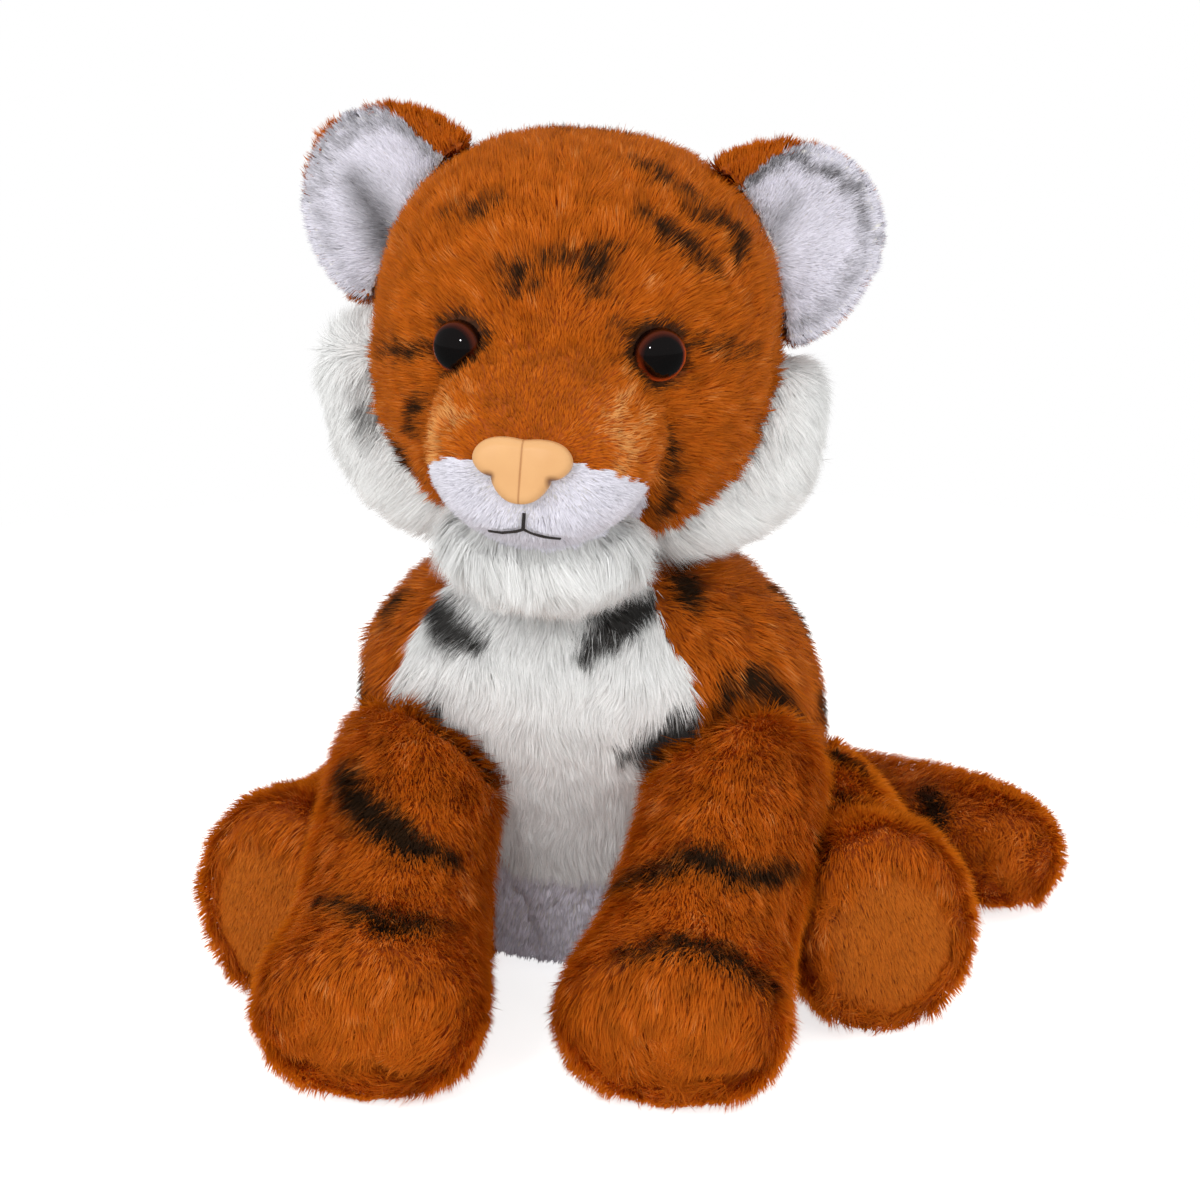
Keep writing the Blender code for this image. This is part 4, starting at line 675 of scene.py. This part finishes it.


# Ears: two layers sewn round the rim and turned, orange plush behind and white short pile in front, with
# a fringe of dark tips along the rim. They are let into the head's seam.

# Painted shadow in each ear's hollow, laid on as soft strokes of the dark colour.
EAR_HOLLOW_SHADES = {"l": [(2.5, [(63, 10, 247), (60, 9, 243), (57, 8, 238), (55, 8, 232)])],
               "r": [(7, [(-76, -2, 250), (-69, -5, 241), (-64, -8, 231), (-62, -8, 224)])]}
EAR_FOLDS = {"l": (0.1, 0.85), "r": (0.2, 0.6)}
for side, sign, seed in (("l", 1, 31), ("r", -1, 33)):
    front, back, body = "ear_front_" + side, "ear_back_" + side, "ear_" + side
    foot = np.array({"l": (0.052, 0.006, 0.228), "r": (-0.054, -0.005, 0.236)}[side])
    fold, fringe = EAR_FOLDS[side]

    def rolled_rim(centres, owner):
        """The orange back rolls forward over the rim that faces the crown."""
        white = centres[owner == 0]
        middle, half = (white.max(0) + white.min(0)) / 2, (white.max(0) - white.min(0)) / 2
        inwards = -sign * (centres[:, 0] - middle[0]) / half[0]
        upwards = (centres[:, 2] - middle[2]) / half[2]
        angle = np.arctan2(upwards, inwards)
        edge = 1 - fold * np.exp(-((angle - 0.95) / 0.5) ** 2)
        owner[(owner == 0) & (np.hypot(inwards, upwards) > edge)] = 1

    ear = cut_panels(cover_form("ear", (front, back), 0.0014), {front: 0.0010, back: SHORT_INSET},
                     rolled_rim)
    rim = point_tree({tuple(p) for p in ear[front]["corners"].reshape(-1, 3)}
                     & {tuple(p) for p in ear[back]["corners"].reshape(-1, 3)})

    def fringe_and_hollow_shade(points, edge):
        """A fringe of dark tips along the rim, and a soft dark patch in the hollow: painted shadow, partly
        the real brown at its base.
        """
        away = np.array([rim.find(p)[2] for p in points])
        rise = np.clip((points[:, 2] - foot[2]) / 0.03, 0, 1)
        return np.maximum(fringe * (0.5 + 0.5 * rise)
                          * np.clip((0.0034 + 0.8 * edge - away) / 0.0036, 0, 1),
                          0.85 * dye_and_shade(points, EAR_HOLLOW_SHADES[side], 0.3 * edge, 0.011) ** 1.5)

    def back_dye(points, edge):
        away = np.array([rim.find(p)[2] for p in points])
        return 0.9 * np.clip((0.0016 + 0.8 * edge - away) / 0.002, 0, 1)

    def outwards(root, normal):
        return unit(root - foot)

    dress(ear[front], body, front, "white_short_plush")
    dress(ear[back], body, back, "orange_plush")
    grow_pile(front + "_pile", ear[front], body, "white_short_plush", 9.0, 0.0042, outwards,
              width=0.00028, clump=0.08, swirl=0.2, tuft=0.04, dyed_and_shaded=fringe_and_hollow_shade, seed=seed)
    grow_pile(back + "_pile", ear[back], body, "orange_plush", 5.0, 0.0055, outwards, rise=0.5,
              width=0.00034, dyed_and_shaded=back_dye, seed=seed + 1)


# Front legs: stuffed tubes of the same orange plush that run forward from the chest, fuller at the paw.
# Each has two or three dark bands and a sewn crease above its sole.

FRONT_LEG_STRIPES = [
    (6, [(-61, -76, 76), (-53, -91, 73), (-43, -100, 70), (-33, -104, 65), (-22, -100, 60)]),
    (4, [(-55, -122, 52), (-44, -129, 53), (-34, -134, 52), (-25, -131, 51), (-19, -123, 50)]),
    (4.5, [(28, -93, 51), (42, -101, 62), (53, -98, 66), (67, -99, 61), (79, -83, 58)]),
    (4, [(38, -131, 47), (48, -130, 50), (57, -128, 50), (68, -126, 47), (74, -126, 42), (80, -122, 37)]),
    (4, [(80, -60, 60), (82, -50, 50), (80, -44, 42)]),
    (4, [(-68, -66, 50), (-70, -56, 42), (-68, -48, 36)]),
]
leg_dye = dyed_in(FRONT_LEG_STRIPES, 0.97, 1.3)


def down_the_leg(root, normal):
    paw = np.clip((0.05 - root[:, 2]) / 0.03, 0, 1)
    return np.stack([np.zeros(len(root)), -0.75 - 0.4 * paw, -0.75 + 0.5 * paw], 1)


PAW_CREASES = [(3, [(28, -140, 16), (40, -139, 15), (52, -139, 15), (66, -136, 17), (78, -128, 18)]),
               (3, [(-66, -144, 16), (-54, -150, 15), (-42, -152, 15), (-30, -150, 15), (-16, -142, 16)])]


def paw_creases(root, normal):
    """The pile is sewn down along the crease above each paw's sole, and is longest over the shoulder."""
    shoulder = 1 + 0.35 * np.clip((root[:, 2] - 0.07) / 0.02, 0, 1)
    return off_floor(root, normal) * (1 - 0.8 * dye_and_shade(root, PAW_CREASES)) * shoulder


def crease_shadow(root):
    return 1.1 * dye_and_shade(root, PAW_CREASES, 0.001, 0.004)


for side, seed in (("l", 41), ("r", 42)):
    cover, body = "front_leg_skin_" + side, "front_leg_" + side
    filling = "front_leg_stuffing_" + side
    leg = cut_panels(cover_form(body, (cover, filling)), {cover: LONG_INSET}, filling=filling, margin=0.0026)
    dress(leg[cover], body, cover, "orange_plush", leg_dye)
    grow_pile(body + "_pile", leg[cover], body, "orange_plush", 3.2, 0.0082, down_the_leg,
              width=0.00034, nap=1.0, front=0.3, dyed_and_shaded=leg_dye, cut=paw_creases, shaded=crease_shadow,
              seed=seed)


# Hind legs: short stuffed legs of the same orange plush that lie forward beside the body, with an oval sole
# of short, shiny pile let into the end of each foot.

HIND_LEG_STRIPES = [
    (4, [(70, 6, 62), (86, 4, 64), (100, 0, 60)]),
    (4, [(66, -22, 52), (78, -18, 61), (92, -21, 62), (106, -24, 58)]),
    (4, [(-70, 6, 62), (-84, 4, 63), (-98, 0, 58)]), (4, [(-64, -24, 52), (-76, -20, 60), (-90, -23, 60)]),
]
hind_dye = dyed_in(HIND_LEG_STRIPES, 0.95, 1.3)
PLUSH["sole_plush"] = (pile_finish("short_brown_sole_pile", "#8A3E09", "#BC681C", "#2B2417", 0.35),
                       backing_finish("brown_sole_backing", "#94430C", "#7C3D12"))
for side, seed in (("l", 51), ("r", 54)):
    cover, sole, body = "hind_leg_skin_" + side, "sole_pad_" + side, "hind_leg_" + side
    filling = "hind_leg_stuffing_" + side
    leg = cut_panels(cover_form(body, (cover, sole, filling)), {cover: LONG_INSET, sole: 0.0014},
                     filling=filling, crown=(sole, 0.0032, 0.012), margin=0.0022)
    dress(leg[cover], body, cover, "orange_plush", hind_dye)
    dress(leg[sole], body, sole, "sole_plush")
    grow_pile(body + "_pile", leg[cover], body, "orange_plush", 2.8, 0.0082,
              combed(3, -1.0, 0.25), width=0.00036, nap=1.0, dyed_and_shaded=hind_dye, cut=off_floor, seed=seed)
    grow_pile(sole + "_pile", leg[sole], body, "sole_plush", 6.5, 0.0032, down_the_body, rise=0.4,
              width=0.00032, clump=0.1, swirl=0.2, tuft=0.15, seed=seed + 1)


# Tail: a thick stuffed tube of the same orange plush. It is sewn to the seat at the back, curls forward
# beside the body and ends in a blunt tip, with a dark band before it.

TAIL_PATH = np.array([(8, 64, 22), (40, 88, 20), (75, 98, 18), (110, 92, 20), (136, 72, 20),
                      (130, 44, 19)]) / 1000
tail_dye = dyed_in([(6, [(104, 61, 36), (109, 51, 32), (111, 46, 28)])], 0.95, 1.3)


def to_the_tip(root, normal):
    steps = TAIL_PATH[1:] - TAIL_PATH[:-1]
    middles = (TAIL_PATH[1:] + TAIL_PATH[:-1]) / 2
    pull = 1 / (np.linalg.norm(root[:, None] - middles[None], axis=2) + 0.004) ** 2
    return (pull[:, :, None] * steps[None]).sum(1) / pull.sum(1)[:, None] / 0.035


tail = cut_panels(cover_form("tail_form", ("tail_skin", "tail_stuffing")), {"tail_skin": LONG_INSET},
                  filling="tail_stuffing")["tail_skin"]
dress(tail, "tail", "tail_skin", "orange_plush", tail_dye)
grow_pile("tail_pile", tail, "tail", "orange_plush", 2.5, 0.0082, to_the_tip, nap=1.0,
          dyed_and_shaded=tail_dye, cut=off_floor, seed=61)


# Eyes: moulded acrylic domes 16.4 mm across with a black pupil and a thin dark red-brown ring, each on a
# shank that is pushed through the cover and held by a pressed washer behind it.

EYE_RADIUS, EYE_BRIM, EYE_RISE, EYE_RINGS = 8.2, 1.2, 5.8, 24  # millimetres, and rings of faces
EYE_BACK = [(8.2, 0.9), (8.2, 0.5), (8.1, 0.15), (7.8, 0.0), (5.0, 0.0), (2.2, 0.0), (2.0, -0.3),
            (2.0, -4.0), (2.0, -8.0), (2.0, -11.8), (1.8, -12.0), (0.0, -12.0)]

for side, centre, axis in (("l", (33.0, -57.74, 210.25), (0.4683, -0.8831, -0.0294)),
                           ("r", (-25.97, -64.11, 211.30), (-0.2745, -0.9611, 0.0294))):
    # Polished clear acrylic over a painted ring: a sharp highlight. The ring is brightest low down, which is
    # painted light, where light through the dome would gather.
    eye = empty_material("moulded_acrylic_eye_" + side)
    place = node(eye, "TexCoord").outputs["Object"]
    arm = node(eye, "VectorMath", {0: place, 1: tuple(np.array(centre) / 1000)}, operation="SUBTRACT")
    beside = node(eye, "VectorMath", {0: arm, 1: axis}, operation="CROSS_PRODUCT")
    off_axis = node(eye, "VectorMath", {0: beside}, operation="LENGTH")
    ring = node(eye, "ValToRGB", {0: node(eye, "Math", {0: off_axis.outputs["Value"], 1: 100.0},
                                          operation="MULTIPLY")})
    ramp = ring.color_ramp
    ramp.elements[0].position, ramp.elements[0].color = 0.60, linear("#030202")
    ramp.elements[1].position, ramp.elements[1].color = 0.67, linear("#6E220A")
    for at, colour in ((0.74, "#B5481A"), (0.80, "#240A05")):
        ramp.elements.new(at).color = linear(colour)
    # Painted light: the ring is brightened low down, as if lit through the dome from above.
    low = node(eye, "VectorMath", {0: arm, 1: ({"l": 60.0, "r": -60.0}[side], 0.0, -130.0)},
               operation="DOT_PRODUCT")
    lit = node(eye, "MapRange", {"Value": low.outputs["Value"], "From Min": -0.3, "From Max": 0.6,
                                 "To Min": 0.15})
    ring_with_painted_glow = node(eye, "Mix", {0: lit, 6: linear("#080404"), 7: ring}, data_type="RGBA")
    shader = node(eye, "BsdfPrincipled", {"Base Color": ring_with_painted_glow.outputs[2], "Roughness": 0.05,
                                          "Specular IOR Level": 0.5})
    node(eye, "OutputMaterial", {"Surface": shader})
    bpy.ops.object.select_all(action="DESELECT")
    bpy.ops.mesh.primitive_uv_sphere_add(segments=48, ring_count=EYE_RINGS, radius=1)
    dome = bpy.context.object
    dome.name = "eye_dome_" + side
    co = np.array([v.co for v in dome.data.vertices])
    level = np.round(np.arccos(np.clip(co[:, 2], -1, 1)) / np.pi * EYE_RINGS).astype(int)
    turn = np.arctan2(co[:, 1], co[:, 0])
    slope = np.pi * np.arange(EYE_RINGS // 2 + 1) / EYE_RINGS
    front = [(EYE_RADIUS * np.sin(t), EYE_BRIM + EYE_RISE * np.cos(t)) for t in slope]
    profile = np.array(front + EYE_BACK)[level]
    right = np.cross((0, 0, 1), axis)
    right /= np.linalg.norm(right)
    up = np.cross(axis, right)
    spoke = np.cos(turn)[:, None] * right + np.sin(turn)[:, None] * up
    co = (np.array(centre) + profile[:, 1:] * axis + profile[:, :1] * spoke) / 1000
    dome.data.vertices.foreach_set("co", co.ravel())
    dome.data.update()
    bpy.ops.object.shade_smooth_by_angle(angle=0.6)
    dome.data.materials.append(eye)
    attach(dome, "head")
    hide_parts("eye_" + side)

# Pressed polypropylene: hazy white and half matt.
washer = empty_material("pressed_polypropylene_washer")
place = node(washer, "TexCoord").outputs["Object"]
haze = node(washer, "TexNoise", {"Vector": place, "Scale": 300.0, "Detail": 2.0})
mixed = node(washer, "Mix", {0: haze, 6: linear("#E2E2DE"), 7: linear("#F2F2EE")}, data_type="RGBA")
shader = node(washer, "BsdfPrincipled", {"Base Color": mixed.outputs[2], "Roughness": 0.4})
node(washer, "OutputMaterial", {"Surface": shader})
for name in ("eye_washer_l", "eye_washer_r", "nose_washer"):
    finish_node(name, washer)


# Nose and mouth: a satin tan nose moulded in one piece with its shank, which goes through the muzzle into
# a pressed washer. The mouth is black thread, sewn down in a stem and two arms.

NOSE_BACK = np.array((1.50, -100.63, 183.31)) / 1000
NOSE_RIGHT = np.array((0.9933, 0.0990, -0.0590))
NOSE_UP = np.array((0.0406, 0.1791, 0.9830))
NOSE_OUT = np.array((0.1079, -0.9788, 0.1739))
# Plastic with a fine satin grain: a broad, soft highlight. Its colour clouds a little every 14 mm, and
# painted shade darkens the groove and the nostrils.
nose = empty_material("moulded_satin_tan_nose")
place = node(nose, "TexCoord").outputs["Object"]
grain = node(nose, "TexNoise", {"Vector": place, "Scale": 900.0, "Detail": 3.0})
cloud = node(nose, "TexNoise", {"Vector": place, "Scale": 70.0, "Detail": 2.0})
mixed = node(nose, "Mix", {0: cloud, 6: linear("#C99560"), 7: linear("#DBAB74")}, data_type="RGBA")
# Painted shade along the groove between the lobes.
arm = node(nose, "VectorMath", {0: place, 1: tuple(NOSE_BACK)}, operation="SUBTRACT")
sideways = node(nose, "VectorMath", {0: arm, 1: tuple(NOSE_RIGHT)}, operation="DOT_PRODUCT")
middle = node(nose, "Math", {0: sideways.outputs["Value"]}, operation="ABSOLUTE")
groove_shade = node(nose, "MapRange", {"Value": middle, "From Min": 0.00015, "From Max": 0.0004,
                               "To Min": 0.6, "To Max": 0.0})
mixed = node(nose, "Mix", {0: groove_shade, 6: mixed.outputs[2], 7: linear("#9A6233")}, data_type="RGBA")
# Painted shade in each nostril's notch.
for sign in (1, -1):
    nostril = NOSE_BACK + (sign * 8.9 * NOSE_RIGHT - 1.7 * NOSE_UP + 3.5 * NOSE_OUT) / 1000
    gap = node(nose, "VectorMath", {0: place, 1: tuple(nostril)}, operation="DISTANCE")
    dark = node(nose, "MapRange", {"Value": gap.outputs["Value"], "From Min": 0.0012, "From Max": 0.0032,
                                   "To Min": 0.85, "To Max": 0.0})
    mixed = node(nose, "Mix", {0: dark, 6: mixed.outputs[2], 7: linear("#6B3F20")}, data_type="RGBA")
bump = node(nose, "Bump", {"Height": grain, "Strength": 0.12, "Distance": 0.0003})
shader = node(nose, "BsdfPrincipled", {"Base Color": mixed.outputs[2], "Roughness": 0.42,
                                       "Specular IOR Level": 0.45, "Normal": bump})
node(nose, "OutputMaterial", {"Surface": shader})

# Half the nose's outline, in millimetres, from the dip in its top round a lobe and the nostril's notch to
# its tip. Each ring is a share of it and how far out it lies, from the end of the shank to the face.
NOSE_HALF = [(0.0, 8.9), (2.0, 9.2), (4.2, 9.5), (8.2, 9.4), (11.6, 8.3), (14.0, 6.0), (14.8, 3.4),
             (14.2, 1.2), (12.8, -0.5), (11.2, -1.6), (9.7, -2.0), (8.7, -2.2), (8.6, -3.0), (8.2, -4.2),
             (7.0, -6.2), (5.2, -8.1), (2.8, -9.4), (0.0, -9.75)]
SHANK_RADIUS, SHANK_END, NOSE_FRONT = 2.4, -12.1, 6.4
NOSE_RINGS = [(0.0, SHANK_END), (0.0, -4.0), (0.0, -0.6), (0.5, 0.0), (0.84, -0.5), (0.96, -1.3),
              (1.0, -0.3), (1.0, 3.0), (0.95, 4.6), (0.84, 5.5), (0.62, 6.1), (0.36, 6.35),
              (0.12, NOSE_FRONT)]
half = np.array(NOSE_HALF)
outline = np.concatenate([half, half[-2:0:-1] * (-1, 1)])
circle = np.arctan2(outline[:, 0], outline[:, 1])
circle = SHANK_RADIUS * np.stack([np.sin(circle), np.cos(circle)], 1)
rings = []
for share, out in NOSE_RINGS:
    flat = circle if out <= 0 and share == 0 else outline * share + circle * (1 - share) * (out <= 0)
    rings.append(np.column_stack([flat, np.full(len(flat), out)]))
count = len(outline)
points = np.concatenate(rings + [[[0, 0, SHANK_END], [0, 0, NOSE_FRONT]]])
faces = [(r * count + i, r * count + (i + 1) % count, (r + 1) * count + (i + 1) % count, (r + 1) * count + i)
         for r in range(len(rings) - 1) for i in range(count)]
faces += [(len(points) - 2, (i + 1) % count, i) for i in range(count)]
last = (len(rings) - 1) * count
faces += [(len(points) - 1, last + i, last + (i + 1) % count) for i in range(count)]
mesh = bpy.data.meshes.new("nose_moulding")
mesh.from_pydata([tuple(p) for p in points], [], faces)
mesh.materials.append(nose)
moulding = add_object("nose_moulding", mesh)
bpy.ops.object.mode_set(mode="EDIT")
bpy.ops.mesh.select_all(action="SELECT")
bpy.ops.mesh.normals_make_consistent(inside=False)
bpy.ops.object.mode_set(mode="OBJECT")
moulding.modifiers.new("round", "SUBSURF").levels = 2
bpy.ops.object.modifier_apply(modifier="round")
bpy.ops.object.shade_smooth()
co = np.array([v.co for v in moulding.data.vertices])
# The face is rounded off along the outline. The lobes stand a little proud of the middle, and a fine groove
# runs down between them to the tip.
ROUNDING, FACE_FROM, FACE_RISE = 2.6, 2.9, 2.7
gap = np.full(len(co), 99.0)
for a, b in zip(outline, np.roll(outline, -1, axis=0)):
    t = np.clip((co[:, :2] - a) @ (b - a) / ((b - a) @ (b - a)), 0, 1)
    gap = np.minimum(gap, np.linalg.norm(co[:, :2] - a - t[:, None] * (b - a), axis=1))
face = co[:, 2] > FACE_FROM
round_off = np.sqrt(1 - (1 - np.clip(gap / ROUNDING, 0, 1)) ** 2)
proud = (0.5 * np.exp(-((np.abs(co[:, 0]) - 8) / 4.5) ** 2 - ((co[:, 1] - 4) / 5) ** 2)
         - 0.3 * np.exp(-(co[:, 0] / 0.35) ** 2) + 0.5 * (1 - (co[:, 0] / 15) ** 2 - (co[:, 1] / 10) ** 2))
co[face, 2] = (FACE_FROM + (FACE_RISE + proud) * round_off)[face]
co = NOSE_BACK + (co[:, :1] * NOSE_RIGHT + co[:, 1:2] * NOSE_UP + co[:, 2:] * NOSE_OUT) / 1000
moulding.data.vertices.foreach_set("co", co.ravel())
moulding.data.update()
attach(moulding, "head")
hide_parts("nose")

# Twisted polyester: black with a faint sheen, and plies 0.7 mm apart.
thread = empty_material("black_polyester_thread")
place = node(thread, "TexCoord").outputs["Object"]
twist = node(thread, "TexWave", {"Vector": place, "Scale": 900.0, "Distortion": 1.0},
             bands_direction="DIAGONAL")
bump = node(thread, "Bump", {"Height": twist, "Strength": 0.8, "Distance": 0.0003})
mixed = node(thread, "Mix", {0: twist, 6: linear("#24201E"), 7: linear("#3C3734")}, data_type="RGBA")
shader = node(thread, "BsdfPrincipled", {"Base Color": mixed.outputs[2], "Roughness": 0.6,
                                         "Normal": bump})
node(thread, "OutputMaterial", {"Surface": shader})
# The thread is drawn down into the muzzle's pile: its path is the CAD node's, laid on the muzzle's backing.
muzzle = head["muzzle_skin"]["corners"].reshape(-1, 3)
backing = BVHTree.FromPolygons(muzzle.tolist(), np.arange(len(muzzle)).reshape(-1, 3).tolist())
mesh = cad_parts["mouth_stitching"].data.copy()
feet = [backing.find_nearest(v.co) for v in mesh.vertices]
height = np.array([(v.co - foot[0]).dot(foot[1]) for v, foot in zip(mesh.vertices, feet)])
height = 0.0016 + 0.6 * (height - height.mean())
for v, foot, up in zip(mesh.vertices, feet, height):
    v.co = foot[0] + foot[1] * float(up)
mesh.materials.clear()
mesh.materials.append(thread)
mouth = add_object("mouth_thread", mesh)
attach(mouth, "head")
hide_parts("mouth_stitching")


# Studio: a sweep of white paper under soft lamps, with the camera at the photograph's angle. The paper is
# lit up so that it shows pure white behind the toy, with only the soft shadow under it.

bpy.ops.object.select_all(action="DESELECT")
bpy.ops.mesh.primitive_plane_add(size=6, location=(0, 0, 0))
floor = bpy.context.object
floor.name = "floor"
paper = empty_material("white_paper")
path = node(paper, "LightPath")
seen = node(paper, "Math", {0: path.outputs["Is Camera Ray"], 1: path.outputs["Is Transmission Ray"]},
            operation="MAXIMUM")
matt = node(paper, "BsdfDiffuse", {"Color": linear("#E6E6E4")})
glow = node(paper, "Emission", {"Color": linear("#FFFFFF"),
                                "Strength": node(paper, "Math", {0: seen, 1: 0.75},
                                                 operation="MULTIPLY")})
both = node(paper, "AddShader", {0: matt, 1: glow})
plain = node(paper, "Emission", {"Color": linear("#FFFFFF"), "Strength": 1.0})
reach = node(paper, "VectorMath", {0: node(paper, "TexCoord").outputs["Object"]}, operation="LENGTH")
away = node(paper, "MapRange", {"Value": reach.outputs["Value"], "From Min": 0.25, "From Max": 0.6})
far_seen = node(paper, "Math", {0: away, 1: seen}, operation="MULTIPLY")
sweep = node(paper, "MixShader", {0: far_seen, 1: both, 2: plain})
flag = node(paper, "Emission", {"Color": linear("#FFFFFF"), "Strength": 0.12})
sweep = node(paper, "MixShader", {0: path.outputs["Is Glossy Ray"], 1: sweep, 2: flag})
node(paper, "OutputMaterial", {"Surface": sweep})
floor.data.materials.append(paper)

world = bpy.data.worlds.new("studio")
bpy.context.scene.world = world
world.use_nodes = True
world.node_tree.nodes.clear()
path = node(world, "LightPath")
seen = node(world, "Math", {0: path.outputs["Is Camera Ray"], 1: path.outputs["Is Transmission Ray"]},
            operation="MAXIMUM")
strength = node(world, "MapRange", {"Value": seen, "To Min": 0.95, "To Max": 1.0})
dimmed = node(world, "Math", {0: path.outputs["Is Glossy Ray"], 1: -0.75, 2: strength},
              operation="MULTIPLY_ADD")
sky = node(world, "Background", {"Color": linear("#FFFFFF"), "Strength": dimmed})
node(world, "OutputWorld", {"Surface": sky})

for name, at, size, watts in (("key", (-0.5, -1.2, 0.8), 0.8, 6), ("fill", (0.95, -0.85, 0.5), 0.8, 3.5),
                              ("top", (0.1, 0.3, 1.3), 0.8, 2), ("catch", (-0.15, -1.25, 0.75), 0.09, 2)):
    lamp = bpy.data.lights.new(name, "AREA")
    lamp.shape, lamp.size, lamp.energy = "DISK", size, watts
    ob = add_object(name, lamp)
    ob.location = at
    ob.visible_glossy = name == "catch"
    ob.rotation_euler = (Vector((0, 0, 0.13)) - ob.location).to_track_quat("-Z", "Y").to_euler()

TURN, DIP, FAR, AIM = np.radians(12), np.radians(15), 1.0, 0.14
camera = bpy.data.cameras.new("camera")
camera.sensor_width, camera.lens = 36.0, 93.0
camera.shift_x, camera.shift_y = 10 / 1200, -73 / 1200
eye_point = add_object("camera", camera)
eye_point.location = (np.sin(TURN) * np.cos(DIP) * FAR, -np.cos(TURN) * np.cos(DIP) * FAR,
                      AIM + np.sin(DIP) * FAR)
eye_point.rotation_euler = (np.pi / 2 - DIP, 0, TURN)
bpy.context.scene.camera = eye_point
bpy.context.scene.view_settings.view_transform = "Standard"
